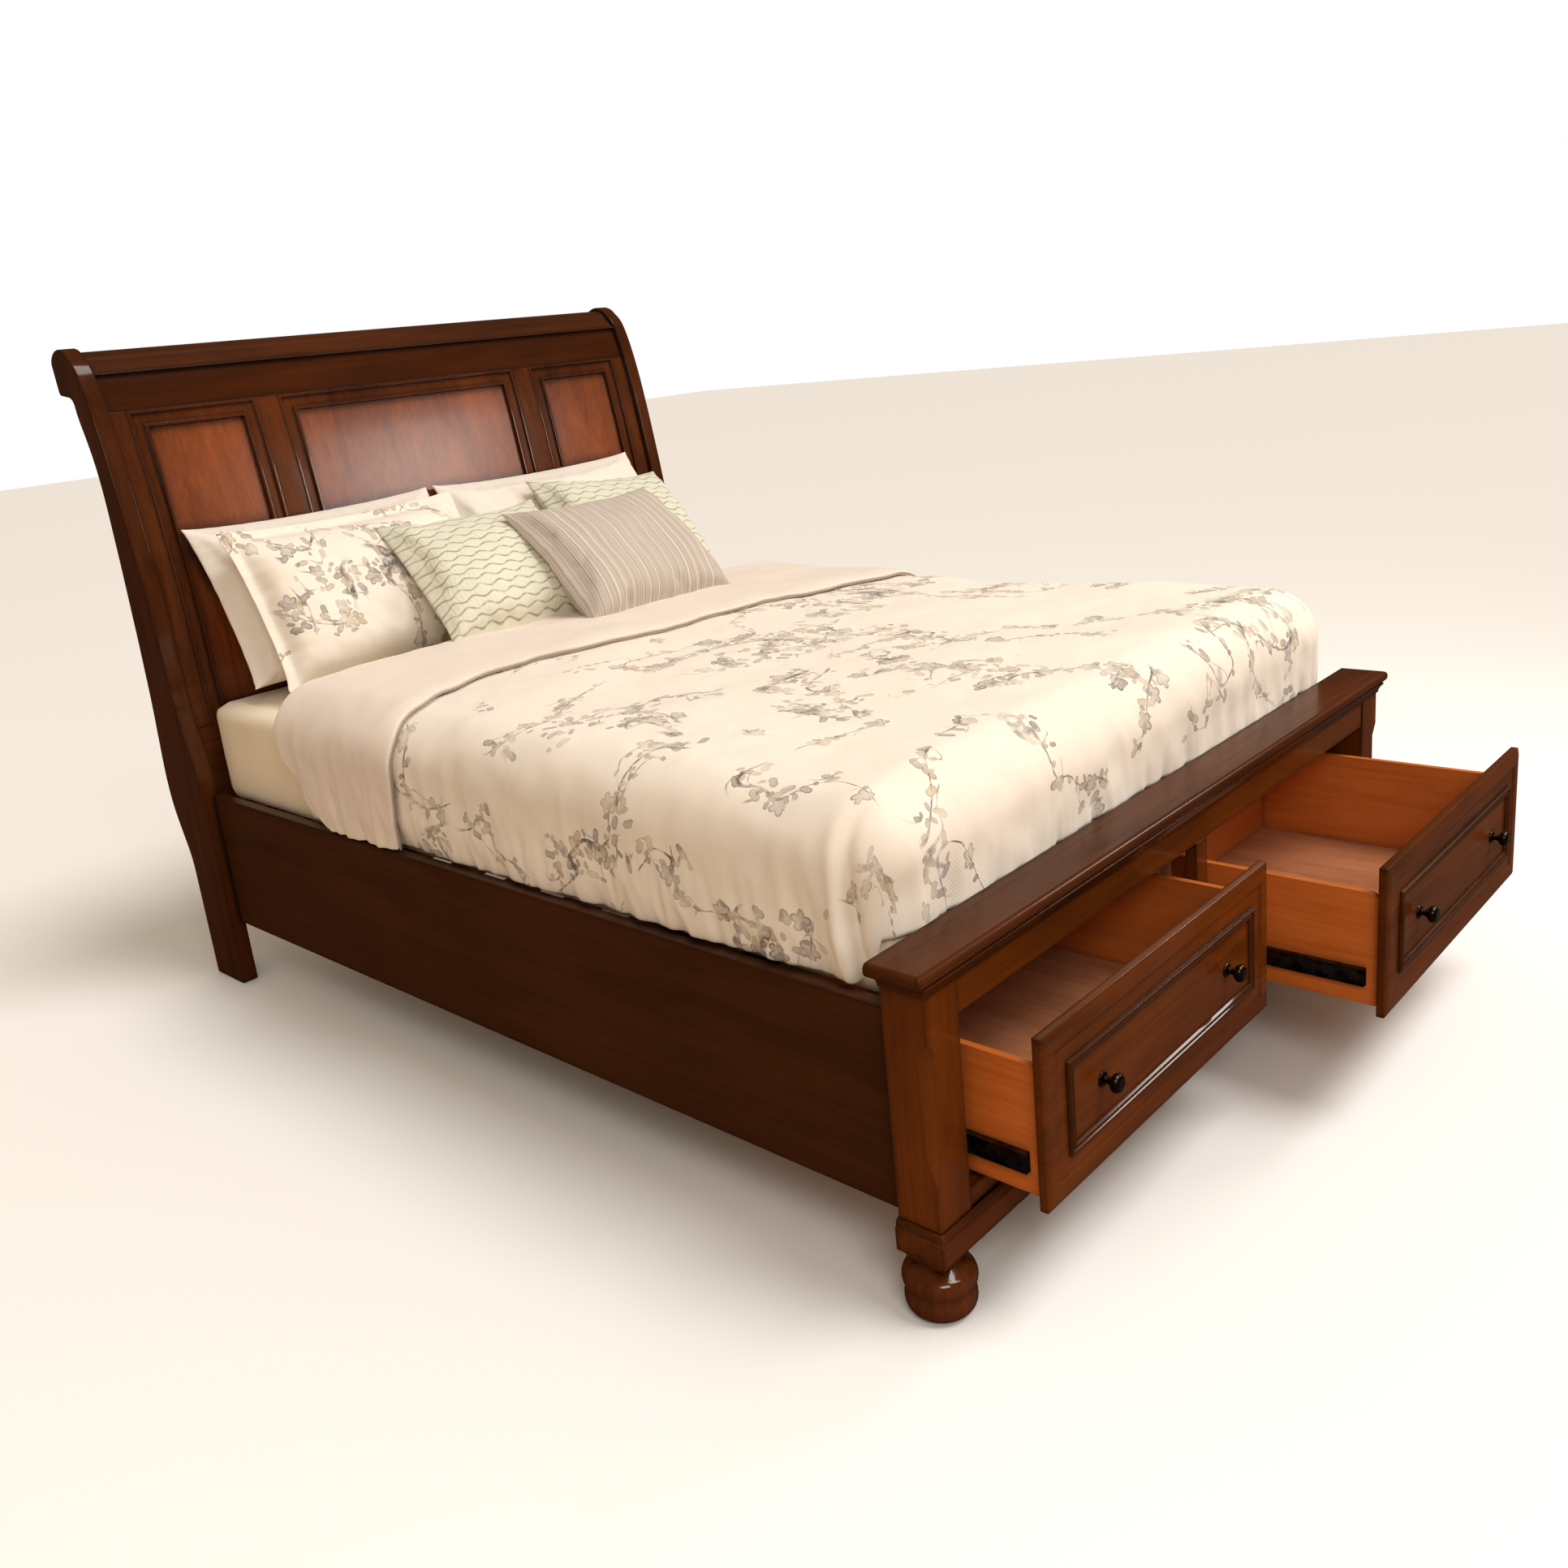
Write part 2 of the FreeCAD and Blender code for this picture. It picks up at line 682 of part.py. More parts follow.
def pillow(width, height, thickness, place, lean, turn, tilt):
    """Cushion standing on its lower edge: lean back, then turn about Z; tilt is in its own plane."""
    block = Part.makeBox(width, thickness, height, V(-width / 2, -thickness / 2, 0))
    solid = block.makeFillet(thickness * 0.46, block.Edges)
    solid.rotate(V(0, 0, 0), V(0, 1, 0), tilt)
    solid.rotate(V(0, 0, 0), V(1, 0, 0), -lean)
    solid.rotate(V(0, 0, 0), V(0, 0, 1), turn)
    low = solid.BoundBox.ZMin
    x, y, z = place
    solid.translate(V(x, y, z - low))
    return solid


def build_bedding():
    keep("mattress", mattress())
    keep("comforter", comforter())
    rest = mattress_top + soft_gap + comforter_thickness + soft_gap
    bed = mattress_top + soft_gap + 30.0
    keep("white_pillow_left",
         pillow(700, 410, 110, (-372, mattress_head - 143, bed), 21, 0, 0))
    keep("white_pillow_right",
         pillow(700, 410, 110, (340, mattress_head - 143, bed), 21, 0, 0))
    keep("floral_pillow", pillow(620, 380, 100, (-372, mattress_head - 268, bed), 21, 0, 0))
    keep("sage_pillow_left", pillow(430, 400, 90, (-140, mattress_head - 473, rest), 36, -6, 0))
    keep("sage_pillow_right", pillow(430, 400, 90, (390, mattress_head - 363, rest), 36, 0, 6))
    keep("striped_pillow", pillow(440, 400, 90, (140, mattress_head - 638, rest), 38, -3, 0))


# ---------------------------------------------------------------- assembly
build_headboard()
build_footboard()
build_case()
build_rails()
build_drawer("left", -drawer_centre, left_drawer_open)
build_drawer("right", drawer_centre, right_drawer_open)
build_bedding()

whole = Part.makeCompound(list(nodes.values())).BoundBox
to_origin = V(-(whole.XMin + whole.XMax) / 2, -(whole.YMin + whole.YMax) / 2, -whole.ZMin)

os.makedirs("parts", exist_ok=True)
for node_name, node_shape in nodes.items():
    node_shape.translate(to_origin)
    node_shape.exportStep("parts/" + node_name + ".step")
print(len(nodes), "nodes, box", round(whole.XLength, 1), round(whole.YLength, 1),
      round(whole.ZLength, 1), "moved by", round(to_origin.y, 3))
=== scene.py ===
# %% [markdown]
# # A dressed sleigh bed with drawers in its footboard
# The bed's boards, drawers and slides come ready made from the frame, in metres, with the floor
# at Z = 0 and the head towards +Y. This script gives them their stain and gloss, makes the
# bedding, and sets up a plain studio. Every place is worked out from the frame's own boxes.

# %% Load the frame
import math
import bpy
from mathutils import Matrix, Vector, noise


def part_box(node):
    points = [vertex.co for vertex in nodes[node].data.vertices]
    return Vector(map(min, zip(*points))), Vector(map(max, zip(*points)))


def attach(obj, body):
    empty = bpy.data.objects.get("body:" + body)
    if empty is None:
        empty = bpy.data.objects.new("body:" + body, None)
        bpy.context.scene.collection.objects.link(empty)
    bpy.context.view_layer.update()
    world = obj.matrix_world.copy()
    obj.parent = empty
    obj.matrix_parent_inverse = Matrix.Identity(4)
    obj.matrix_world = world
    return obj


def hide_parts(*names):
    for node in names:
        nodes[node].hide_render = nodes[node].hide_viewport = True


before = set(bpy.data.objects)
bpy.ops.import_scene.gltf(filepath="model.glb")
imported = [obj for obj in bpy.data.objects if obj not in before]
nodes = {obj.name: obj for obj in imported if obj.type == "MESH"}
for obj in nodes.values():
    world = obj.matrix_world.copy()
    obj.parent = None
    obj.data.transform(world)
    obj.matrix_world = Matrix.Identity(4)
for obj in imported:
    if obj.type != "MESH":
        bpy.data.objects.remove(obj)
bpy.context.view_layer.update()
scene = bpy.context.scene

# %% [markdown]
# ## The camera
# It stands at the near foot corner, a little above the headboard's middle, and is held slightly
# turned about its own line of sight, as a hand-held camera is. A camera can be aimed with a
# Track To constraint, but a constraint can't hold that last turn, so the three axes are worked
# out from heading, pitch and roll. Its place is measured from the front face of the footboard
# posts.

# %% Camera
foot_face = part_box("footboard_post_left")[0].y
eye_beside, eye_before_foot, eye_height = -2.127, 1.025, 1.385
eye = Vector((eye_beside, foot_face - eye_before_foot, eye_height))
heading = math.radians(45.09)
pitch = math.radians(-15.9)
roll = math.radians(-6.28)


def camera_axes():
    """Right, up and backward directions of the camera."""
    forward = Vector((math.sin(heading) * math.cos(pitch), math.cos(heading) * math.cos(pitch),
                      math.sin(pitch)))
    level_right = Vector((math.cos(heading), -math.sin(heading), 0))
    level_up = level_right.cross(forward)
    right = level_right * math.cos(roll) + level_up * math.sin(roll)
    up = level_up * math.cos(roll) - level_right * math.sin(roll)
    return right, up, -forward


lens = bpy.data.cameras.new("studio_camera")
lens.lens = 31.49
lens.sensor_width = 36
lens.shift_x = 0.0248
lens.shift_y = -0.0318
camera = bpy.data.objects.new("studio_camera", lens)
scene.collection.objects.link(camera)
right, up, backward = camera_axes()
camera.matrix_world = Matrix.Translation(eye) @ Matrix((right, up, backward)).transposed().to_4x4()
scene.camera = camera
print("camera at", [round(v, 3) for v in eye])

# %% [markdown]
# ## Shader helpers
# Materials are built from nodes. They could be drawn by hand in the Shader Editor, but in a
# script each node would take several lines. Small helpers keep it readable: one adds a node and
# fills its sockets, one starts a node group with named sockets, and three add the Math, Mix and
# Map Range nodes that come up again and again.


# %% Node helpers
def add_node(tree, kind, inputs=None, **settings):
    """Add a node, set its properties, and fill or link its inputs."""
    made = tree.nodes.new(kind)
    for key, value in settings.items():
        setattr(made, key, value)
    for key, value in (inputs or {}).items():
        socket = made.inputs[key]
        if isinstance(value, bpy.types.NodeSocket):
            tree.links.new(value, socket)
        else:
            socket.default_value = value
    return made


def start_group(name, inputs, outputs):
    """A node group with (name, socket kind, default) inputs and (name, socket kind) outputs."""
    tree = bpy.data.node_groups.new(name, "ShaderNodeTree")
    for label, kind, default in inputs:
        socket = tree.interface.new_socket(name=label, in_out="INPUT", socket_type=kind)
        if default is not None:
            socket.default_value = default
    for label, kind in outputs:
        tree.interface.new_socket(name=label, in_out="OUTPUT", socket_type=kind)
    return tree, tree.nodes.new("NodeGroupInput").outputs, tree.nodes.new("NodeGroupOutput").inputs


def maths(tree, operation, first, second=0.0, third=0.0, clamp=False):
    """One Math node; returns its result socket."""
    return add_node(tree, "ShaderNodeMath", {0: first, 1: second, 2: third},
                    operation=operation, use_clamp=clamp).outputs[0]


def blend_colours(tree, factor, first, second, mode="MIX"):
    """One colour Mix node; returns its result socket."""
    return add_node(tree, "ShaderNodeMix", {0: factor, 6: first, 7: second},
                    data_type="RGBA", blend_type=mode, clamp_factor=True).outputs[2]


def spread(tree, value, low, high, new_low=0.0, new_high=1.0):
    """Map a range of values to another, clamped; returns the result socket."""
    limits = {0: value, 1: low, 2: high, 3: new_low, 4: new_high}
    return add_node(tree, "ShaderNodeMapRange", limits, clamp=True).outputs[0]


COLOUR, VECTOR, VALUE = "NodeSocketColor", "NodeSocketVector", "NodeSocketFloat"
print("helpers ready")

# %% [markdown]
# ## Stained cherry
# The bed is close-grained cherry under a red-brown stain. Wood can be a scanned picture wrapped
# on each board, or noise stretched along it. Noise is used here, because it never repeats and
# needs no file: a broad figure, fine streaks, and short pores where the stain has gathered.


# %% Grain group
def make_grain_group():
    """Wood figure running along X of the vector it is given, in metres."""
    tree, given, result = start_group(
        "wood_grain",
        [("Vector", VECTOR, None), ("Light", COLOUR, (0.3, 0.1, 0.04, 1)),
         ("Dark", COLOUR, (0.1, 0.03, 0.015, 1))],
        [("Colour", COLOUR), ("Roughness", VALUE), ("Height", VALUE)])
    along = add_node(tree, "ShaderNodeMapping", {"Vector": given["Vector"], "Scale": (0.9, 7, 7)})
    figure = add_node(tree, "ShaderNodeTexNoise",
                      {"Vector": along.outputs[0], "Scale": 1.6, "Detail": 5.0,
                       "Roughness": 0.6, "Distortion": 0.7}).outputs[0]
    thin = add_node(tree, "ShaderNodeMapping", {"Vector": given["Vector"], "Scale": (3, 85, 85)})
    streaks = add_node(tree, "ShaderNodeTexNoise",
                       {"Vector": thin.outputs[0], "Scale": 1.5, "Detail": 4.0,
                        "Roughness": 0.65}).outputs[0]
    short = add_node(tree, "ShaderNodeMapping", {"Vector": given["Vector"], "Scale": (60, 520, 520)})
    pores = add_node(tree, "ShaderNodeTexNoise",
                     {"Vector": short.outputs[0], "Scale": 1.0, "Detail": 1.0}).outputs[0]
    pore_mask = spread(tree, pores, 0.62, 0.74)
    clouds = add_node(tree, "ShaderNodeTexNoise",
                      {"Vector": given["Vector"], "Scale": 3.2, "Detail": 3.0}).outputs[0]
    tone = maths(tree, "MULTIPLY_ADD", figure, 0.55, maths(tree, "MULTIPLY", streaks, 0.3))
    tone = maths(tree, "MULTIPLY_ADD", clouds, 0.3, tone)
    tone = spread(tree, tone, 0.40, 0.74)
    wood = blend_colours(tree, tone, given["Dark"], given["Light"])
    wood = blend_colours(tree, maths(tree, "MULTIPLY", pore_mask, 0.35), wood, given["Dark"])
    tree.links.new(wood, result["Colour"])
    tree.links.new(spread(tree, streaks, 0.3, 0.7, 0.04, -0.03), result["Roughness"])
    height = maths(tree, "MULTIPLY_ADD", streaks, 0.5, maths(tree, "MULTIPLY", pore_mask, -0.6))
    tree.links.new(height, result["Height"])
    return tree


grain_group = make_grain_group()
print("grain group", len(grain_group.nodes), "nodes")


# %% [markdown]
# ## Painted shade in corners, glaze on proud edges
# Corners, and places where another part comes close, are darkened in the colour: painted shade.
# A black glaze, brushed on after the stain and wiped off again, stays thinly along proud edges.
# Both could be painted by hand on each board. Ambient occlusion finds these places from the shape
# alone: dark where two faces meet, and, looked at from inside the board, dark at its own edges.
# The inside look counts the board alone, or a cushion behind a thin panel would show through.


# %% Painted shade and edge glaze group
edge_reach = 0.011


def make_shade_and_glaze_group():
    """Darkens a colour in corners as painted shade and, less widely, on proud edges as glaze; the
    reaches are in metres.
    """
    tree, given, result = start_group(
        "painted_shade_and_edge_glaze",
        [("Colour", COLOUR, (0.2, 0.1, 0.05, 1)), ("Shade and Glaze", COLOUR, (0.010, 0.005, 0.003, 1)),
         ("Reach", VALUE, 0.014), ("Amount", VALUE, 1.0), ("Edges", VALUE, 0.6)],
        [("Colour", COLOUR), ("Mask", VALUE)])
    # Painted shade: darker where two faces meet or another part comes within the reach.
    hollow = add_node(tree, "ShaderNodeAmbientOcclusion", {"Distance": given["Reach"]}, samples=6)
    dark = spread(tree, hollow.outputs["AO"], 0.50, 0.97, 1.0, 0.0)
    # Glaze on proud edges, found by looking from inside the board.
    corner = add_node(tree, "ShaderNodeAmbientOcclusion", {"Distance": edge_reach}, samples=6,
                      inside=True, only_local=True)
    proud = maths(tree, "MULTIPLY", spread(tree, corner.outputs["AO"], 0.50, 0.93, 1.0, 0.0),
                  given["Edges"])
    patch = add_node(tree, "ShaderNodeTexNoise", {"Scale": 26.0, "Detail": 3.0}).outputs[0]
    uneven = maths(tree, "MULTIPLY", maths(tree, "MAXIMUM", dark, proud),
                   spread(tree, patch, 0.3, 0.6, 0.7, 1.0))
    mask = maths(tree, "MULTIPLY", uneven, given["Amount"], clamp=True)
    tree.links.new(blend_colours(tree, mask, given["Colour"], given["Shade and Glaze"]), result["Colour"])
    tree.links.new(mask, result["Mask"])
    return tree


shade_and_glaze_group = make_shade_and_glaze_group()
print("glaze group", len(shade_and_glaze_group.nodes), "nodes")

# %% [markdown]
# ## One wood material for each tone and grain direction
# A board's grain runs along its length. Each board could have its own UV map for that, but the
# boards already sit in the frame's own directions, so the object's coordinates are simply turned
# until the board's long way is X before they reach the grain group. Posts stand, rails lie
# across or along. The lacquer on top is the shader's coat.

# %% Wood materials
turned_for = {"x": (0, 0, 0), "y": (0, 0, math.radians(90)), "z": (0, math.radians(90), 0)}
wood_finishes = {}
lacquer_shine = 0.08
lacquer_tint = (1.0, 0.72, 0.5, 1)


def wood(name, light, dark, along, gloss=0.30, shade_and_glaze_amount=1.0, reach=0.014, coat=0.4, edges=0.6,
         haze=0.10):
    """A stained, lacquered wood whose grain runs along x, y or z.

    gloss is the stain's roughness. reach is how far the painted shade creeps out of corners, and
    edges is the glaze's strength on proud edges; the keyword before reach sets the strength of both.
    coat and haze are the lacquer's weight and roughness.
    """
    key = name + "_" + along
    if key in wood_finishes:
        return wood_finishes[key]
    material = bpy.data.materials.new(key)
    material.use_nodes = True
    tree = material.node_tree
    shader = tree.nodes["Principled BSDF"]
    place = add_node(tree, "ShaderNodeTexCoord").outputs["Object"]
    turned = add_node(tree, "ShaderNodeMapping", {"Vector": place, "Rotation": turned_for[along]})
    grain = add_node(tree, "ShaderNodeGroup", node_tree=grain_group)
    tree.links.new(turned.outputs[0], grain.inputs["Vector"])
    grain.inputs["Light"].default_value = (*light, 1)
    grain.inputs["Dark"].default_value = (*dark, 1)
    # Painted shade in corners and where parts meet, and glaze on proud edges, laid over the wood.
    shade_and_glaze = add_node(tree, "ShaderNodeGroup", node_tree=shade_and_glaze_group)
    tree.links.new(grain.outputs["Colour"], shade_and_glaze.inputs["Colour"])
    shade_and_glaze.inputs["Amount"].default_value = shade_and_glaze_amount
    shade_and_glaze.inputs["Reach"].default_value = reach
    shade_and_glaze.inputs["Edges"].default_value = edges
    tree.links.new(shade_and_glaze.outputs["Colour"], shader.inputs["Base Color"])
    rough = maths(tree, "ADD", grain.outputs["Roughness"], gloss)
    rough = maths(tree, "MULTIPLY_ADD", shade_and_glaze.outputs["Mask"], 0.2, rough)
    tree.links.new(rough, shader.inputs["Roughness"])
    bump = add_node(tree, "ShaderNodeBump",
                    {"Strength": 0.12, "Distance": 0.001, "Height": grain.outputs["Height"]})
    tree.links.new(bump.outputs[0], shader.inputs["Normal"])
    shader.inputs["Coat Weight"].default_value = coat
    shader.inputs["Coat Roughness"].default_value = haze
    shader.inputs["Specular IOR Level"].default_value = lacquer_shine
    shader.inputs["Specular Tint"].default_value = lacquer_tint
    wood_finishes[key] = material
    return material


print("wood maker ready")

# %% Wood tones
# Two tones for each board: the light wood between the streaks, and the dark wood in them.
cherry = {"light": (0.125, 0.031, 0.0065), "dark": (0.034, 0.008, 0.0022)}
post_cherry = {"light": (0.100, 0.026, 0.0060), "dark": (0.032, 0.0085, 0.0024)}
top_cherry = {"light": (0.068, 0.0165, 0.0035), "dark": (0.021, 0.0050, 0.0014)}
panel_cherry = {"light": (0.29, 0.070, 0.0145), "dark": (0.10, 0.021, 0.0045)}
dark_cherry = {"light": (0.165, 0.039, 0.0052), "dark": (0.055, 0.0135, 0.0018)}
rail_brown = {"light": (0.072, 0.0220, 0.0068), "dark": (0.038, 0.0115, 0.0036)}
box_maple = {"light": (0.72, 0.20, 0.040), "dark": (0.43, 0.10, 0.018)}
ply = {"light": (0.70, 0.30, 0.15), "dark": (0.36, 0.125, 0.055)}
pine = {"light": (0.62, 0.42, 0.24), "dark": (0.45, 0.27, 0.13)}
print("wood tones ready")

# %% [markdown]
# ## Dressing the boards
# Real boards have eased edges that catch the light. A bevelled normal in the material would fake
# that, but it is lost when the model leaves the renderer. A live Bevel modifier rounds the edges
# for real, without touching the frame's meshes: doubles are welded, flat faces are joined, then
# sharp edges are rounded. Each board also gets the wood of its place, with its grain along it.


# %% Ease the edges
weld_gap = 0.00002
flat_within = math.radians(1.0)
sharp_above = math.radians(28)


def ease(name, width):
    """Round a frame node's sharp edges by width, in metres, with live modifiers."""
    board = nodes[name]
    board.data.shade_smooth()
    weld = board.modifiers.new("weld", "WELD")
    weld.merge_threshold = weld_gap
    flat = board.modifiers.new("flat", "DECIMATE")
    flat.decimate_type = "DISSOLVE"
    flat.angle_limit = flat_within
    edges = board.modifiers.new("eased", "BEVEL")
    edges.width = width
    edges.segments = 2
    edges.limit_method = "ANGLE"
    edges.angle_limit = sharp_above
    weighted = board.modifiers.new("shading", "WEIGHTED_NORMAL")
    weighted.keep_sharp = True


def dress(name, material, edge=None):
    """Give a frame node a material and, if asked, eased edges."""
    board = nodes[name]
    board.data.materials.clear()
    board.data.materials.append(material)
    if edge:
        ease(name, edge)


print("edge helpers ready")

# %% Headboard and posts
for side in ("left", "right"):
    dress("headboard_post_" + side, wood("post_cherry", **post_cherry, along="z"), 0.003)
    dress("headboard_stile_" + side, wood("cherry", **cherry, along="z"), 0.001)
    dress("headboard_mullion_" + side, wood("cherry", **cherry, along="z"), 0.001)
    dress("footboard_post_" + side, wood("dark_cherry", **dark_cherry, along="z"), 0.002)
    dress("bun_foot_" + side, wood("foot_cherry", **cherry, along="z", gloss=0.2, coat=0.8), 0.001)
    dress("side_rail_" + side, wood("rail_brown", **rail_brown, along="y", coat=0.15), 0.002)
# The panels' painted shade reaches further out from the frames around them.
for place in ("left", "centre", "right"):
    dress("headboard_panel_" + place,
          wood("panel_cherry", **panel_cherry, along="z", reach=0.035, coat=0.6, haze=0.24), 0.001)
dress("headboard_panel_mouldings",
      wood("bead_cherry", **cherry, along="z", reach=0.009, edges=0.3), 0.0008)
dress("headboard_crest_rail", wood("post_cherry", **post_cherry, along="x"), 0.002)
dress("headboard_top_rail", wood("top_cherry", **top_cherry, along="x"), 0.001)
dress("headboard_bottom_rail", wood("cherry", **cherry, along="x"), 0.001)
print("headboard and posts dressed")

# %% [markdown]
# ## Footboard and drawers
# The footboard is the same cherry in a deeper brown. The drawer boxes are maple under a thin
# orange stain with plywood bottoms, and what is never seen is plain ply and pine. One wood for
# all would be simpler, but a maker saves the good boards for the faces that show.

# %% Footboard and drawers
dress("footboard_cap", wood("cap_cherry", **post_cherry, along="x", coat=0.12), 0.0012)
for name in ("footboard_cap_cove", "footboard_top_rail", "footboard_bottom_rail",
             "footboard_base_moulding", "footboard_back_panel"):
    dress(name, wood("dark_cherry", **dark_cherry, along="x"), 0.0012)
dress("footboard_centre_stile", wood("dark_cherry", **dark_cherry, along="z"), 0.0015)
for side in ("left_drawer", "right_drawer"):
    dress(side + "_front", wood("dark_cherry", **dark_cherry, along="x"), 0.0012)
    dress(side + "_moulding", wood("dark_cherry", **dark_cherry, along="x"), 0.0005)
    for board, along in (("_sides", "y"), ("_back", "x")):
        dress(side + board, wood("box_maple", **box_maple, along=along, shade_and_glaze_amount=0.35, gloss=0.42),
              0.0015)
    dress(side + "_bottom", wood("ply", **ply, along="y", shade_and_glaze_amount=0.35, gloss=0.4))
dress("case_sides", wood("ply", **ply, along="y", gloss=0.5, coat=0.1))
for name in ("case_bottom", "case_back"):
    dress(name, wood("ply", **ply, along="x", gloss=0.5, coat=0.1))
for name, along in (("slats", "x"), ("slat_ledgers", "y"), ("centre_beam", "y"),
                    ("centre_legs", "z")):
    dress(name, wood("pine", **pine, along=along, gloss=0.55, shade_and_glaze_amount=0.2, coat=0.0), 0.0015)
print("footboard, drawers and supports dressed")

# %% [markdown]
# ## Metal and plastic
# The knobs are oil-rubbed bronze, nearly black with a warm rim where hands have worn them. The
# slides are black zinc, and the plates plain zinc. One flat colour would look like plastic, so a
# faint cloud varies the gloss, and the worn tint sits on proud edges, found as the glaze's are.


# %% Metals
metal_cloud = 60.0


def metal(name, colour, worn, rough, metallic=1.0):
    """A metal whose tint and gloss vary a little, with a worn tint on its proud edges."""
    material = bpy.data.materials.new(name)
    material.use_nodes = True
    tree = material.node_tree
    shader = tree.nodes["Principled BSDF"]
    place = add_node(tree, "ShaderNodeTexCoord").outputs["Object"]
    cloud = add_node(tree, "ShaderNodeTexNoise",
                     {"Vector": place, "Scale": metal_cloud, "Detail": 4.0}).outputs[0]
    edge = add_node(tree, "ShaderNodeAmbientOcclusion", {"Distance": 0.004}, samples=4, inside=True,
                    only_local=True)
    proud = spread(tree, edge.outputs["AO"], 0.75, 0.35)
    mask = maths(tree, "MULTIPLY", proud, spread(tree, cloud, 0.35, 0.6), clamp=True)
    tree.links.new(blend_colours(tree, mask, (*colour, 1), (*worn, 1)), shader.inputs["Base Color"])
    tree.links.new(spread(tree, cloud, 0.3, 0.7, rough - 0.06, rough + 0.08),
                   shader.inputs["Roughness"])
    shader.inputs["Metallic"].default_value = metallic
    return material


bronze = metal("oil_rubbed_bronze", (0.045, 0.030, 0.022), (0.24, 0.13, 0.07), 0.24)
black_zinc = metal("black_zinc", (0.02, 0.02, 0.021), (0.12, 0.12, 0.12), 0.4)
zinc = metal("zinc_plate", (0.55, 0.55, 0.56), (0.7, 0.7, 0.7), 0.35)
glide_plastic = metal("glide_plastic", (0.02, 0.02, 0.02), (0.05, 0.05, 0.05), 0.55, metallic=0.0)
for side in ("left_drawer", "right_drawer"):
    dress(side + "_knobs", bronze, 0.0006)
    dress(side + "_runners", black_zinc, 0.0003)
dress("slide_channels", black_zinc, 0.0003)
dress("rail_hook_plates", zinc, 0.0008)
dress("leg_glides", glide_plastic, 0.001)
print("metals ready")

# %% [markdown]
# ## The weave
# All the cloth is plain woven cotton. Single threads are far too small to model, so the weave is
# a bump: two crossed sine waves with a little slub, and a soft mottling of the colour. It reads
# each piece's own UV map, laid out in metres, so that it follows the cloth over every edge.


# %% Weave group
def make_weave_group():
    """A plain weave on a UV vector in metres: Height for bump, Tint for slight shade."""
    tree, given, result = start_group(
        "plain_weave", [("Vector", VECTOR, None), ("Threads", VALUE, 900.0)],
        [("Height", VALUE), ("Tint", VALUE)])
    scaled = add_node(tree, "ShaderNodeVectorMath",
                      {0: given["Vector"], "Scale": given["Threads"]}, operation="SCALE")
    parts = add_node(tree, "ShaderNodeSeparateXYZ", {0: scaled.outputs[0]})
    warp = maths(tree, "SINE", parts.outputs[0])
    weft = maths(tree, "SINE", parts.outputs[1])
    cross = maths(tree, "MULTIPLY", warp, weft)
    slub = add_node(tree, "ShaderNodeTexNoise",
                    {"Vector": given["Vector"], "Scale": 180.0, "Detail": 2.0}).outputs[0]
    tree.links.new(maths(tree, "MULTIPLY_ADD", slub, 0.8, maths(tree, "MULTIPLY", cross, 0.4)),
                   result["Height"])
    cloud = add_node(tree, "ShaderNodeTexNoise",
                     {"Vector": given["Vector"], "Scale": 5.0, "Detail": 4.0}).outputs[0]
    tree.links.new(maths(tree, "MULTIPLY_ADD", cloud, 0.16, 0.92), result["Tint"])
    return tree


weave_group = make_weave_group()
print("weave group ready")


# %% [markdown]
# ## The blossom print
# The comforter and a sham are printed with wandering branches that carry blossoms and leaves in
# thin washes of grey and tan. A printed cloth is usually a picture on the UV map. Here it is
# grown from noise, so it needs no file: a twig is the line where a smooth noise crosses its
# middle, and each blossom or leaf is one cell of a Voronoi pattern, kept only where its own
# centre sits by a twig, so that none is cut in half.


# %% Flat noise and twigs
def noise_2d(tree, vector, scale, detail=1.0, distortion=0.0):
    """One flat noise; returns its value socket."""
    return add_node(tree, "ShaderNodeTexNoise",
                    {"Vector": vector, "Scale": scale, "Detail": detail, "Distortion": distortion},
                    noise_dimensions="2D").outputs[0]


def from_line(tree, vector, scale, detail, distortion):
    """How far a flat noise is from its middle value: near zero along wandering lines."""
    level = noise_2d(tree, vector, scale, detail, distortion)
    return maths(tree, "ABSOLUTE", maths(tree, "SUBTRACT", level, 0.5))


def make_branch_group():
    """Wandering twigs: Main and Side are near zero on them, Grove is 1 where branches grow."""
    tree, given, result = start_group("branches", [("Vector", VECTOR, None)],
                                      [("Main", VALUE), ("Side", VALUE), ("Grove", VALUE)])
    tree.links.new(from_line(tree, given["Vector"], 3.3, 1.5, 0.5), result["Main"])
    tree.links.new(from_line(tree, given["Vector"], 9.0, 1.0, 0.3), result["Side"])
    where = noise_2d(tree, given["Vector"], 4.4)
    tree.links.new(spread(tree, where, 0.42, 0.47), result["Grove"])
    return tree


branch_group = make_branch_group()
print("branch group", len(branch_group.nodes), "nodes")


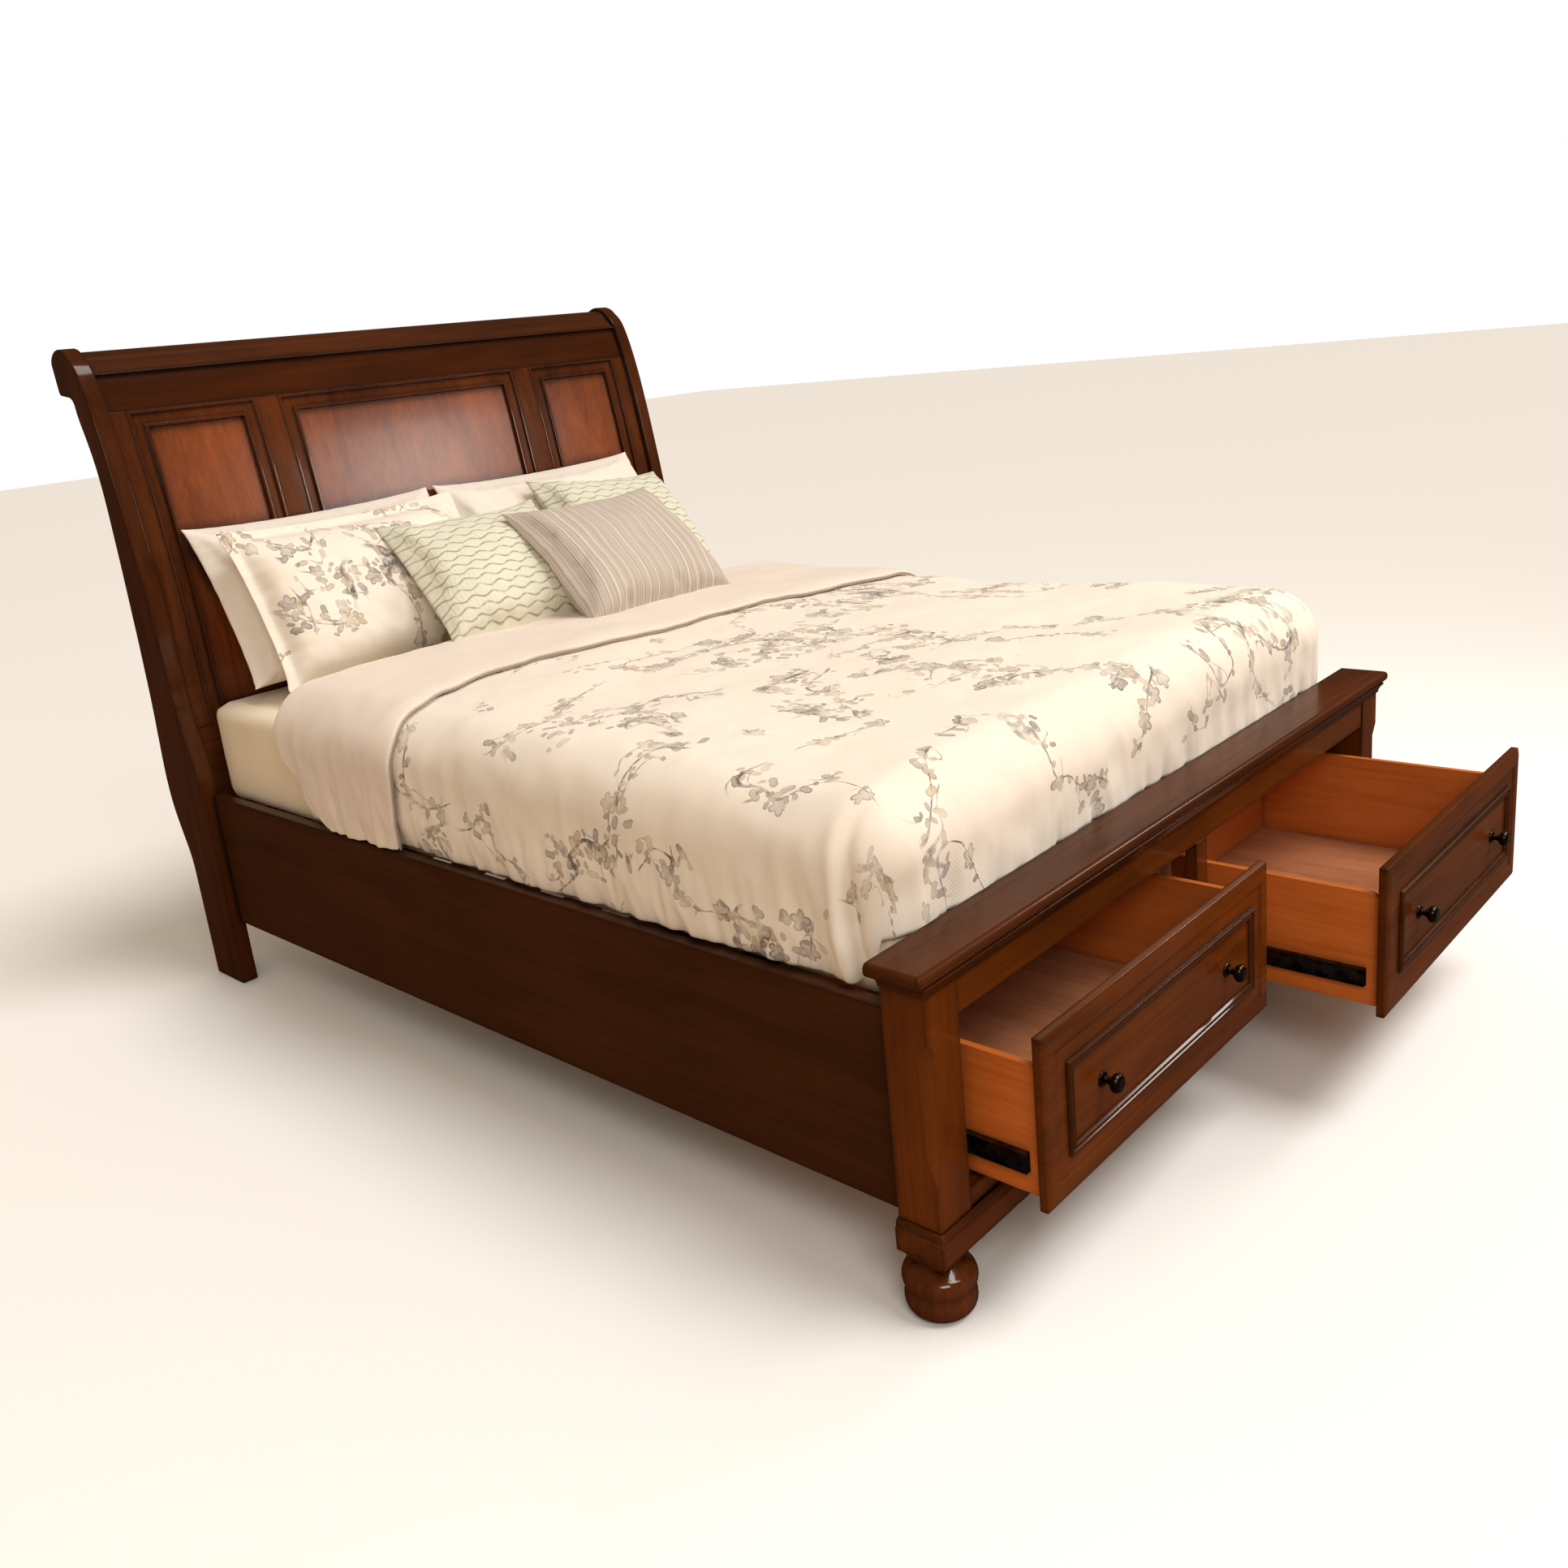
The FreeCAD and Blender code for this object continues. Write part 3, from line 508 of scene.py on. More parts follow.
# %% Blossoms and leaves
def blobs(tree, vector, scale, seed, size, lobes, narrow):
    """One petalled or oval blob in each Voronoi cell: its mask, rim, random tone and centre."""
    moved = add_node(tree, "ShaderNodeVectorMath", {0: vector, 1: (seed, seed * 1.7, 0)},
                     operation="ADD").outputs[0]
    cell = add_node(tree, "ShaderNodeTexVoronoi",
                    {"Vector": moved, "Scale": scale, "Randomness": 0.9}, voronoi_dimensions="2D")
    centre = add_node(tree, "ShaderNodeVectorMath",
                      {0: cell.outputs["Position"], 1: (seed, seed * 1.7, 0)},
                      operation="SUBTRACT").outputs[0]
    away = add_node(tree, "ShaderNodeVectorMath", {0: moved, 1: cell.outputs["Position"]},
                    operation="SUBTRACT")
    shade = add_node(tree, "ShaderNodeSeparateColor", {0: cell.outputs["Color"]}).outputs
    spin = maths(tree, "MULTIPLY", shade[0], 6.28)
    turned = add_node(tree, "ShaderNodeVectorRotate", {"Vector": away.outputs[0], "Angle": spin},
                      rotation_type="Z_AXIS").outputs[0]
    squeezed = add_node(tree, "ShaderNodeVectorMath", {0: turned, 1: (scale, scale * narrow, 0)},
                        operation="MULTIPLY").outputs[0]
    distance = add_node(tree, "ShaderNodeVectorMath", {0: squeezed}, operation="LENGTH").outputs[1]
    parts = add_node(tree, "ShaderNodeSeparateXYZ", {0: squeezed}).outputs
    angle = maths(tree, "ARCTAN2", parts[1], parts[0])
    wave = maths(tree, "ABSOLUTE", maths(tree, "COSINE", maths(tree, "MULTIPLY", angle, lobes / 2)))
    reach = maths(tree, "MULTIPLY_ADD", wave, 0.4 * size, 0.6 * size)
    inside = maths(tree, "SUBTRACT", reach, distance)
    mask = spread(tree, inside, 0.0, 0.03)
    rim = spread(tree, inside, 0.11, 0.03)
    return mask, rim, shade[1], shade[2], centre


def grown(tree, centre, main_reach, side_reach):
    """A mask that is 1 for a blob whose own centre sits by a twig inside a grove."""
    here = add_node(tree, "ShaderNodeGroup", {"Vector": centre}, node_tree=branch_group).outputs
    by_main = maths(tree, "LESS_THAN", here["Main"], main_reach)
    by_side = maths(tree, "MULTIPLY", maths(tree, "LESS_THAN", here["Side"], side_reach),
                    maths(tree, "LESS_THAN", here["Main"], 0.085))
    near = maths(tree, "MAXIMUM", by_main, by_side)
    return maths(tree, "MULTIPLY", near, maths(tree, "GREATER_THAN", here["Grove"], 0.5))


print("blob helpers ready")

# %% Blossom print group
# For each kind of blob: cells per metre, seed, size, lobes, narrowing, reach from a main and from
# a side twig, the chance below which a cell stays empty, and the depth of its wash.
blob_kinds = (
    (19.0, 3.1, 0.40, 5, 1.0, 0.050, 0.030, 0.50, 0.40),
    (30.0, 6.3, 0.42, 2, 1.35, 0.055, 0.050, 0.30, 0.55),
    (52.0, 8.7, 0.40, 2, 1.2, 0.032, 0.045, 0.45, 0.65))


def make_blossom_group():
    """Branches with blossoms and leaves printed in washes: Mask, and Tone for the ink's hue."""
    tree, given, result = start_group("blossom_print", [("Vector", VECTOR, None)],
                                      [("Mask", VALUE), ("Tone", VALUE)])
    flat = add_node(tree, "ShaderNodeVectorMath", {0: given["Vector"], 1: (1, 1, 0)},
                    operation="MULTIPLY").outputs[0]
    here = add_node(tree, "ShaderNodeGroup", {"Vector": flat}, node_tree=branch_group).outputs
    main_twig = spread(tree, here["Main"], 0.0085, 0.005)
    side_twig = maths(tree, "MULTIPLY", spread(tree, here["Side"], 0.011, 0.006),
                      spread(tree, here["Main"], 0.085, 0.075))
    stroke = spread(tree, noise_2d(tree, flat, 60.0, 2.0), 0.36, 0.54, 0.35, 0.95)
    twigs = maths(tree, "MULTIPLY", maths(tree, "MAXIMUM", main_twig,
                                          maths(tree, "MULTIPLY", side_twig, 0.8)), stroke)
    ink = maths(tree, "MULTIPLY", twigs, here["Grove"])
    tone = 0.3
    for scale, seed, size, lobes, narrow, main_reach, side_reach, odds, wash in blob_kinds:
        mask, rim, hue, chance, centre = blobs(tree, flat, scale, seed, size, lobes, narrow)
        here_too = maths(tree, "MULTIPLY", grown(tree, centre, main_reach, side_reach),
                         maths(tree, "GREATER_THAN", chance, odds))
        depth = maths(tree, "MULTIPLY_ADD", rim, 0.95 - wash, wash)
        blob = maths(tree, "MULTIPLY", maths(tree, "MULTIPLY", mask, depth), here_too)
        tone = add_node(tree, "ShaderNodeMix", {0: maths(tree, "MULTIPLY", mask, here_too),
                                                2: tone, 3: hue}).outputs[0]
        ink = maths(tree, "MAXIMUM", ink, blob)
    faded = spread(tree, noise_2d(tree, flat, 16.0, 3.0), 0.32, 0.60, 0.50, 1.0)
    tree.links.new(maths(tree, "MULTIPLY", ink, faded, clamp=True), result["Mask"])
    tree.links.new(tone, result["Tone"])
    return tree


blossom_group = make_blossom_group()
print("blossom group", len(blossom_group.nodes), "nodes")


# %% [markdown]
# ## The smocking
# The sage cushions are smocked: the cloth is gathered into fine pleats, and wavy rows of
# stitching hold them, so the pleats puff out between the rows. Modelled pleats would need
# millions of faces, so the puffs are a bump and the stitches a darker line, both from sine waves
# whose rows sway against each other.

# %% Smocking group
smock_row = 0.024
smock_wave = 0.054
smock_pleat = 0.0125
smock_sway = 0.30


def make_smock_group():
    """Wavy rows of stitching, each opposed to the next, with gathered puffs between them."""
    tree, given, result = start_group("smocked_rows", [("Vector", VECTOR, None)],
                                      [("Height", VALUE), ("Stitch", VALUE)])
    parts = add_node(tree, "ShaderNodeSeparateXYZ", {0: given["Vector"]})
    across, upward = parts.outputs[0], parts.outputs[1]
    sway = maths(tree, "SINE", maths(tree, "MULTIPLY", across, 2 * math.pi / smock_wave))
    step = maths(tree, "MULTIPLY", upward, math.pi / (2 * smock_row))
    row = maths(tree, "MULTIPLY_ADD", sway, smock_sway, step)
    other = maths(tree, "MULTIPLY_ADD", sway, -smock_sway, step)
    rows = maths(tree, "MINIMUM", maths(tree, "ABSOLUTE", maths(tree, "SINE", row)),
                 maths(tree, "ABSOLUTE", maths(tree, "COSINE", other)))
    rows = maths(tree, "MULTIPLY", rows, 1.35)
    shift = maths(tree, "MULTIPLY", maths(tree, "COSINE", row), 2.2)
    pleat = maths(tree, "MULTIPLY_ADD", across, 2 * math.pi / smock_pleat, shift)
    pleat = maths(tree, "SINE", pleat)
    pleats = maths(tree, "MULTIPLY_ADD", pleat, 0.28, 0.72)
    tree.links.new(maths(tree, "MULTIPLY", maths(tree, "SQRT", rows), pleats), result["Height"])
    deep = spread(tree, rows, 0.34, 0.05)
    broken = add_node(tree, "ShaderNodeTexNoise",
                      {"Vector": given["Vector"], "Scale": 70.0, "Detail": 2.0}).outputs[0]
    tree.links.new(maths(tree, "MULTIPLY", deep, spread(tree, broken, 0.3, 0.55, 0.3, 1.0)),
                   result["Stitch"])
    return tree


smock_group = make_smock_group()
print("smocking group ready")

# %% [markdown]
# ## The fabrics
# Each cloth is the same weave in its own colour, with a print, stripes or smocking added. They
# could be separate materials built one by one. One function keeps their roughness and the soft
# sheen of brushed cotton alike, so only what differs is written down.

# %% Fabric materials
grey_ink, tan_ink = (0.115, 0.092, 0.085, 1), (0.40, 0.29, 0.16, 1)
stitch_shade = (0.42, 0.43, 0.33, 1)


def fabric(name, colour, printed=False, smocked=False, stripes=None):
    """A woven cloth; printed adds blossom, and stripes is a list of (spacing, width, colour)."""
    material = bpy.data.materials.new(name)
    material.use_nodes = True
    tree = material.node_tree
    shader = tree.nodes["Principled BSDF"]
    cloth_map = add_node(tree, "ShaderNodeTexCoord").outputs["UV"]
    weave = add_node(tree, "ShaderNodeGroup", node_tree=weave_group)
    tree.links.new(cloth_map, weave.inputs["Vector"])
    base = blend_colours(tree, 1.0, (*colour, 1), weave.outputs["Tint"], "MULTIPLY")
    if printed:
        print_node = add_node(tree, "ShaderNodeGroup", node_tree=blossom_group)
        tree.links.new(cloth_map, print_node.inputs["Vector"])
        ink = blend_colours(tree, spread(tree, print_node.outputs["Tone"], 0.45, 0.75),
                            grey_ink, tan_ink)
        base = blend_colours(tree, print_node.outputs["Mask"], base, ink)
    height = weave.outputs["Height"]
    if stripes:
        across = add_node(tree, "ShaderNodeSeparateXYZ", {0: cloth_map}).outputs[0]
        for spacing, width, tint in stripes:
            beat = maths(tree, "FRACT", maths(tree, "MULTIPLY", across, 1.0 / spacing))
            line = spread(tree, beat, width / spacing, width / spacing * 0.8)
            base = blend_colours(tree, line, base, (*tint, 1))
            height = maths(tree, "MULTIPLY_ADD", line, width * 500, height)
    if smocked:
        gathers = add_node(tree, "ShaderNodeGroup", node_tree=smock_group)
        tree.links.new(cloth_map, gathers.inputs["Vector"])
        shade = blend_colours(tree, gathers.outputs["Stitch"], (1, 1, 1, 1), stitch_shade)
        base = blend_colours(tree, 1.0, base, shade, "MULTIPLY")
        height = maths(tree, "MULTIPLY_ADD", gathers.outputs["Height"], 5.0, height)
    tree.links.new(base, shader.inputs["Base Color"])
    shader.inputs["Roughness"].default_value = 0.85
    shader.inputs["Sheen Weight"].default_value = 0.25
    shader.inputs["Sheen Roughness"].default_value = 0.45
    relief = add_node(tree, "ShaderNodeBump",
                      {"Strength": 0.3, "Distance": 0.0007, "Height": height})
    tree.links.new(relief.outputs[0], shader.inputs["Normal"])
    return material


cream_sheet = fabric("cream_sheet", (0.86, 0.75, 0.58))
blossom_cotton = fabric("blossom_cotton", (0.85, 0.78, 0.69), printed=True)
taupe_cotton = fabric("taupe_cotton", (0.79, 0.69, 0.61))
white_cotton = fabric("white_cotton", (0.82, 0.76, 0.69))
sage_cotton = fabric("sage_cotton", (0.71, 0.70, 0.58), smocked=True)
stripe_cotton = fabric("stripe_cotton", (0.48, 0.42, 0.365),
                       stripes=[(0.0260, 0.0036, (0.70, 0.63, 0.53)),
                                (0.0117, 0.0016, (0.33, 0.27, 0.22)),
                                (0.0325, 0.0020, (0.36, 0.30, 0.27)),
                                (0.0078, 0.0012, (0.66, 0.58, 0.49))])
# A dark cloth for the cord that is painted shadow under the turn-back's free edge.
shadow_line_cloth = fabric("shadow_line_cloth", (0.34, 0.27, 0.21))
print("fabrics ready")

# %% [markdown]
# ## The mattress in its sheet
# It is a firm block with soft edges, wrapped in a cream sheet. A cube with a Bevel modifier would
# do for the shape, but it would look cast. So the cube is cut into a grid in edit mode, its
# edges are rounded by a formula, and its faces are moved in and out by a few millimetres. The
# small helpers that all the soft pieces share come first.


# %% Selecting and applying
def select_only(piece):
    """Deselect everything, then select and activate one object."""
    bpy.ops.object.select_all(action="DESELECT")
    piece.select_set(True)
    bpy.context.view_layer.objects.active = piece


def apply_modifier(piece, name):
    """Apply one modifier of a piece, as the Apply button does."""
    select_only(piece)
    bpy.ops.object.modifier_apply(modifier=name)


def in_edit_mode(piece, *steps):
    """Run edit-mode operators, each a (operator, settings) pair, on everything selected."""
    select_only(piece)
    bpy.ops.object.mode_set(mode="EDIT")
    bpy.ops.mesh.select_all(action="SELECT")
    for operator, settings in steps:
        operator(**settings)
    bpy.ops.object.mode_set(mode="OBJECT")


def make_finer(piece):
    """Round a piece off with one level of subdivision."""
    finer = piece.modifiers.new("finer", "SUBSURF")
    finer.levels = finer.render_levels = 1
    apply_modifier(piece, "finer")


def fill_with_loft(piece, thickness):
    """Give a sheet its thickness inwards, then round it off."""
    loft = piece.modifiers.new("loft", "SOLIDIFY")
    loft.thickness = thickness
    loft.offset = -1
    apply_modifier(piece, "loft")
    make_finer(piece)


print("operator and modifier helpers ready")


# %% Shaping cloth
def held(value, low=0.0, high=1.0):
    """A value kept between two limits."""
    return max(low, min(high, value))


def wrinkle(point, scale, seed):
    """Smooth noise between about -1 and 1 at a scale in metres."""
    return noise.noise(Vector((point.x / scale + seed, point.y / scale, point.z / scale + seed)))


def grid_sheet(name, columns, rows, place):
    """A grid made flat, then each vertex put where place(u, v) says; UVs are place's metres."""
    bpy.ops.object.select_all(action="DESELECT")
    bpy.ops.mesh.primitive_grid_add(x_subdivisions=columns, y_subdivisions=rows, size=2)
    piece = bpy.context.object
    piece.name = name
    piece.data.name = name
    spots = [place(vertex.co.x, vertex.co.y) for vertex in piece.data.vertices]
    for vertex, (spot, _) in zip(piece.data.vertices, spots):
        vertex.co = spot
    layer = piece.data.uv_layers[0]
    for loop in piece.data.loops:
        layer.data[loop.index].uv = spots[loop.vertex_index][1]
    piece.data.shade_smooth()
    return piece


print("soft helpers ready")


# %% Mattress
mattress_cuts = 40
mattress_edge = 0.045
sheet_inset = 0.004
mattress_dent, sheet_wrinkle = 0.003, 0.0012


def make_mattress():
    """A cube cut fine, with rounded edges and a slightly uneven sheet over it."""
    low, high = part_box("mattress")
    size = high - low
    centre = (low + high) / 2
    bpy.ops.object.select_all(action="DESELECT")
    bpy.ops.mesh.primitive_cube_add(size=1, location=centre, scale=size)
    piece = bpy.context.object
    piece.name = "mattress_in_sheet"
    bpy.ops.object.transform_apply(location=True, rotation=True, scale=True)
    in_edit_mode(piece, (bpy.ops.mesh.subdivide, {"number_cuts": mattress_cuts}))
    inner = size / 2 - Vector((mattress_edge, mattress_edge, mattress_edge))
    for vertex in piece.data.vertices:
        offset = vertex.co - centre
        core = Vector([held(offset[i], -inner[i], inner[i]) for i in range(3)])
        outward = offset - core
        if outward.length > 1e-6:
            offset = core + outward.normalized() * mattress_edge
        pull = (wrinkle(offset, 0.22, 4.0) * mattress_dent
                + wrinkle(offset, 0.06, 9.0) * sheet_wrinkle)
        direction = outward.normalized() if outward.length > 1e-6 else Vector((0, 0, 1))
        vertex.co = centre + offset + direction * (pull - sheet_inset)
    layer = piece.data.uv_layers[0]
    for loop in piece.data.loops:
        spot = piece.data.vertices[loop.vertex_index].co
        layer.data[loop.index].uv = (spot.x + spot.z, spot.y + spot.z)
    piece.data.shade_smooth()
    piece.data.materials.append(cream_sheet)
    return piece


mattress = make_mattress()
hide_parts("mattress")
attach(mattress, "bed_frame")
print("mattress", len(mattress.data.polygons), "faces")

# %% [markdown]
# ## The comforter
# A comforter is a big soft sheet drawn over the mattress. It bends over the long edges and the
# foot, and is tucked down inside the rails. A cloth simulation could drape it, but the tucks are
# made by hands, which a simulation leaves out. Here a flat grid is carried over a rounded block:
# distance past the flat top is spent first on a quarter turn, then on the drop. Noise in the
# direction of the surface gives the loft its dents, and the sides get the creases that tucking
# pulls into them, with one pleat at each foot corner.

# %% The rounded block
comfort_low, comfort_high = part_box("comforter")
rail_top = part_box("side_rail_left")[1].z
rail_gap = 0.002
cover_turn = 0.105
cover_crown = 0.012
cover_outset = 0.004
cover_half = comfort_high.x - cover_turn + cover_outset
cover_foot = comfort_low.y + cover_turn - cover_outset
cover_top = comfort_high.z - 0.002
side_drop = cover_top - cover_turn - rail_top - rail_gap
cover_reach = cover_half + cover_turn * math.pi / 2 + side_drop


def over_block(across, along, lift):
    """For flat distances across and along: the place on the block, its normal, how far past."""
    past_side = max(abs(across) - cover_half, 0.0)
    past_foot = max(cover_foot - along, 0.0)
    spent = max(past_side, past_foot)
    turn = Vector((math.copysign(past_side, across), -past_foot, 0))
    turn = turn.normalized() if turn.length > 1e-9 else Vector((0, 0, 0))
    radius = cover_turn + lift
    quarter = cover_turn * math.pi / 2
    angle = min(spent / cover_turn, math.pi / 2)
    straight = min(max(spent - quarter, 0.0), side_drop)
    core = Vector((math.copysign(min(abs(across), cover_half), across), max(along, cover_foot),
                   cover_top - cover_turn))
    crown = cover_crown * (1 - (core.x / cover_half) ** 2)
    normal = turn * math.sin(angle) + Vector((0, 0, math.cos(angle)))
    spot = core + normal * radius + Vector((0, 0, crown * math.cos(angle) - straight))
    return spot, normal, spent


print("cover top", round(cover_top, 3), "half width", round(cover_half, 3))


# %% The comforter's dents and creases
broad_dent, middle_dent, small_dent = 0.013, 0.006, 0.0022
drop_crease, fine_crease, tuck_crease = 0.013, 0.003, 0.012
pleat_groove, groove_width = 0.022, 0.011
pleat_ridge, ridge_width, ridge_beside = 0.009, 0.014, 0.025


def corner_pleat(spot):
    """The groove and the ridge beside it where the side is folded under at the foot corner."""
    past = spot.y - (cover_foot - 0.035 - 0.25 * (cover_top - spot.z) ** 2)
    groove = pleat_groove * math.exp(-(past / groove_width) ** 2)
    ridge = pleat_ridge * math.exp(-((past - ridge_beside) / ridge_width) ** 2)
    return groove - ridge


def puff(spot, spent, strength):
    """How far the loft stands out: broad dents, small dents, and creases on the drop."""
    broad = wrinkle(spot, 0.34, 1.3) * broad_dent + wrinkle(spot, 0.15, 7.7) * middle_dent
    small = wrinkle(spot, 0.055, 3.1) * small_dent
    along_edge = Vector((spot.y + spot.x, 0, spot.z * 0.22))
    on_drop = held((spent - 0.05) / 0.16)
    at_tuck = held((spent - 0.17) / 0.13)
    crease = abs(wrinkle(along_edge, 0.07, 5.0)) * drop_crease
    crease += abs(wrinkle(along_edge, 0.030, 2.0)) * (fine_crease + tuck_crease * at_tuck)
    crease += corner_pleat(spot) * at_side(spot)
    return strength * (broad * (1 - 0.4 * on_drop) + small) - crease * on_drop


def at_side(spot):
    """1 on the long sides of the cover, 0 elsewhere."""
    return 1.0 if abs(spot.x) > cover_half + 0.02 else 0.0


print("cover reaches", round(cover_reach, 3), "m to each side along the cloth")

# %% Comforter body
foot_drop = 0.10
tuck_depth = 0.012
comforter_loft = 0.022


def above_rail(spot, across, gap):
    """Keep a place on the sides of the cover a gap above the rail."""
    if abs(across) > cover_half and spot.z < rail_top + gap:
        spot.z = rail_top + gap
    return spot


def make_comforter():
    """The printed cover, from the foot to under the cushions, pressed in where it is tucked."""
    start = cover_foot - cover_turn * math.pi / 2 - foot_drop
    end = comfort_high.y - 0.05

    def place(u, v):
        """The place and cloth map of the cover for grid coordinates from -1 to 1."""
        across = u * cover_reach
        along = start + (end - start) * (v + 1) / 2
        spot, normal, spent = over_block(across, along, 0.0)
        tucked = held((spent - cover_turn * 1.57 - side_drop * 0.55) / (side_drop * 0.45))
        spot = spot + normal * (puff(spot, spent, 1.0) - tuck_depth * tucked ** 2)
        return above_rail(spot, across, rail_gap), (across, along)

    piece = grid_sheet("comforter_cover", 220, 190, place)
    fill_with_loft(piece, comforter_loft)
    piece.data.materials.append(blossom_cotton)
    return piece


comforter = make_comforter()
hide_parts("comforter")
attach(comforter, "bed_frame")
print("comforter", len(comforter.data.polygons), "faces")

# %% [markdown]
# ## The turned-back end
# At the head the comforter is folded back on itself, so its plain taupe reverse shows. It could
# be the same sheet folded over, but a tight fold in one grid pinches and cuts through itself. So
# it is a second layer over the same rounded block: its free edge follows a slack curve across
# the bed, and its fold is a soft roll. The two lines give the distance from the footboard's face
# at places across the bed, in metres.

# %% The turn-back's two lines
turn_back_roll = 0.034
turn_back_lift = 0.017
turn_back_loft = 0.014
turn_back_gap = 0.004
edge_thins, edge_band = 0.007, 0.05
edge_line = [(-1.05, 1.31), (-0.80, 1.275), (-0.715, 1.29), (-0.60, 1.345), (-0.514, 1.36),
             (-0.40, 1.325), (-0.29, 1.275), (0.0, 1.24), (0.22, 1.216), (0.50, 1.185), (0.80, 1.15),
             (1.05, 1.14)]
fold_line = [(-1.05, 1.56), (-0.95, 1.66), (-0.85, 1.74), (-0.70, 1.735), (-0.3, 1.70),
             (0.3, 1.69), (0.8, 1.68), (1.05, 1.66)]


def along_line(line, across):
    """Smoothly read a list of (across, along) points."""
    across = max(line[0][0], min(line[-1][0], across))
    for (x0, y0), (x1, y1) in zip(line, line[1:]):
        if across <= x1:
            part = (across - x0) / (x1 - x0)
            part = part * part * (3 - 2 * part)
            return foot_face + y0 + (y1 - y0) * part
    return foot_face + line[-1][1]


print("free edge", len(edge_line), "points, fold", len(fold_line), "points")


# %% Turn-back layer
def make_turn_back():
    """The taupe layer from its free edge up to the roll of the fold, thinner at the free edge."""
    roll = turn_back_roll

    def place(u, v):
        """The place and cloth map of the turn-back for grid coordinates from -1 to 1."""
        across = u * cover_reach
        free = along_line(edge_line, across)
        fold = along_line(fold_line, across)
        part = (v + 1) / 2
        flat = fold - roll - free
        distance = part * (flat + roll * math.pi * 0.75)
        angle = max(0.0, (distance - flat) / roll)
        along = free + min(distance, flat) + roll * math.sin(angle)
        lift = turn_back_lift - roll * (1 - math.cos(angle))
        thin = max(0.0, 1 - distance / edge_band)
        lift -= edge_thins * thin ** 2
        spot, normal, spent = over_block(across, along, lift)
        stands = puff(spot, spent, 0.9) * (1 - 0.5 * min(1.0, angle)) + turn_back_gap
        spot = spot + normal * stands
        return above_rail(spot, across, turn_back_gap), (across, 3.0 + distance)

    piece = grid_sheet("comforter_turn_back", 220, 70, place)
    fill_with_loft(piece, turn_back_loft)
    piece.data.materials.append(taupe_cotton)
    return piece


turn_back = make_turn_back()
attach(turn_back, "bed_frame")
print("turn-back", len(turn_back.data.polygons), "faces")

# %% [markdown]
# ## The dark cord: painted shadow under the free edge
# A thin dark cord runs along the free edge of the turned-back end: a dark thing set as painted
# shadow where the edge throws its shade. It could be a dark line in the cloth's material, but a
# cord stands up and catches the light. A curve with a round bevel is run along the same free
# edge, then made a mesh.

# %% Dark cord as painted shadow on the free edge
shadow_cord_radius = 0.0021
shadow_cord_steps = 240
shadow_cord_lift, shadow_cord_ahead = 0.002, Vector((0, -0.003, 0))


def make_shadow_cord():
    """A round dark cord along the free edge of the turn-back, just in front of it: painted shadow.
    """
    data = bpy.data.curves.new("turn_back_shadow_cord", "CURVE")
    data.dimensions = "3D"
    data.bevel_depth = shadow_cord_radius
    data.bevel_resolution = 2
    spline = data.splines.new("POLY")
    spline.points.add(shadow_cord_steps)
    for index in range(shadow_cord_steps + 1):
        across = (2 * index / shadow_cord_steps - 1) * cover_reach
        along = along_line(edge_line, across)
        spot, normal, spent = over_block(across, along, 0.006)
        spot = spot + normal * (puff(spot, spent, 0.95) + shadow_cord_lift) + shadow_cord_ahead
        spline.points[index].co = (*above_rail(spot, across, 0.005), 1)
    piece = bpy.data.objects.new("turn_back_shadow_cord", data)
    scene.collection.objects.link(piece)
    select_only(piece)
    bpy.ops.object.convert(target="MESH")
    piece = bpy.context.object
    piece.data.materials.append(shadow_line_cloth)
    piece.data.shade_smooth()
    return piece


shadow_cord = make_shadow_cord()
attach(shadow_cord, "bed_frame")
print("shadow_cord", len(shadow_cord.data.polygons), "faces")

# %% [markdown]
# ## The cushions
# A cushion is two pieces of cloth sewn round the edge and stuffed. Its loft is greatest a little
# below the middle, where the filling has sunk, and runs out to a thin seam. Two flat pieces could
# be blown up by a cloth simulation alone, but that pinches the corners and shrinks the width. So
# a formula gives the stuffed shape, and a short simulation, with no gravity and a little pressure
# inside, only wrinkles it as real cloth does.

# %% The stuffed shape
filling_sinks = 0.16


def loft_profile(across, upward):
    """Share of the full thickness at a place from -1 to 1 both ways, sunk towards the bottom."""
    sunk = upward + filling_sinks * (1 - upward ** 2)
    return max((1 - abs(across) ** 2.6) * (1 - abs(sunk) ** 2.6), 0.0) ** 0.56


print("loft at the middle", round(loft_profile(0, 0), 3))

# %% Cloth simulation
blow_frames = 10
move_at_seam, move_in_middle = 0.003, 0.014


def blow_up(piece, lofts):
    """Let the cloth swell and wrinkle under a little pressure, moving least at the seam."""
    before = [vertex.co.copy() for vertex in piece.data.vertices]
    cloth = piece.modifiers.new("cloth", "CLOTH")
    cloth.settings.quality = 4
    cloth.settings.mass = 0.25
    cloth.settings.tension_stiffness = 30
    cloth.settings.compression_stiffness = 30
    cloth.settings.shear_stiffness = 12
    cloth.settings.bending_stiffness = 0.2
    cloth.settings.use_pressure = True
    cloth.settings.uniform_pressure_force = 4.0
    cloth.settings.effector_weights.gravity = 0
    cloth.point_cache.frame_start = 1
    cloth.point_cache.frame_end = blow_frames
    for step in range(1, blow_frames + 1):
        scene.frame_set(step)
    apply_modifier(piece, "cloth")
    scene.frame_set(1)
    for vertex, start, loft in zip(piece.data.vertices, before, lofts):
        moved = vertex.co - start
        limit = move_at_seam + move_in_middle * min(1.0, 2.5 * loft)
        if moved.length > limit:
            vertex.co = start + moved.normalized() * limit


print("cloth runs for", blow_frames, "frames")

# %% [markdown]
# ## Sewing a cushion
# A grid stood on edge gets a thin thickness, and each of its two faces is pushed out by the loft.
# The seam puckers, so fine gathers stand at right angles to it, and a sham has a flat flange
# outside the seam. The gathers could be a bump, but they show in the outline, so they are shape.

# %% Cutting the cloth
cushion_cell = 0.009
cloth_thickness = 0.004


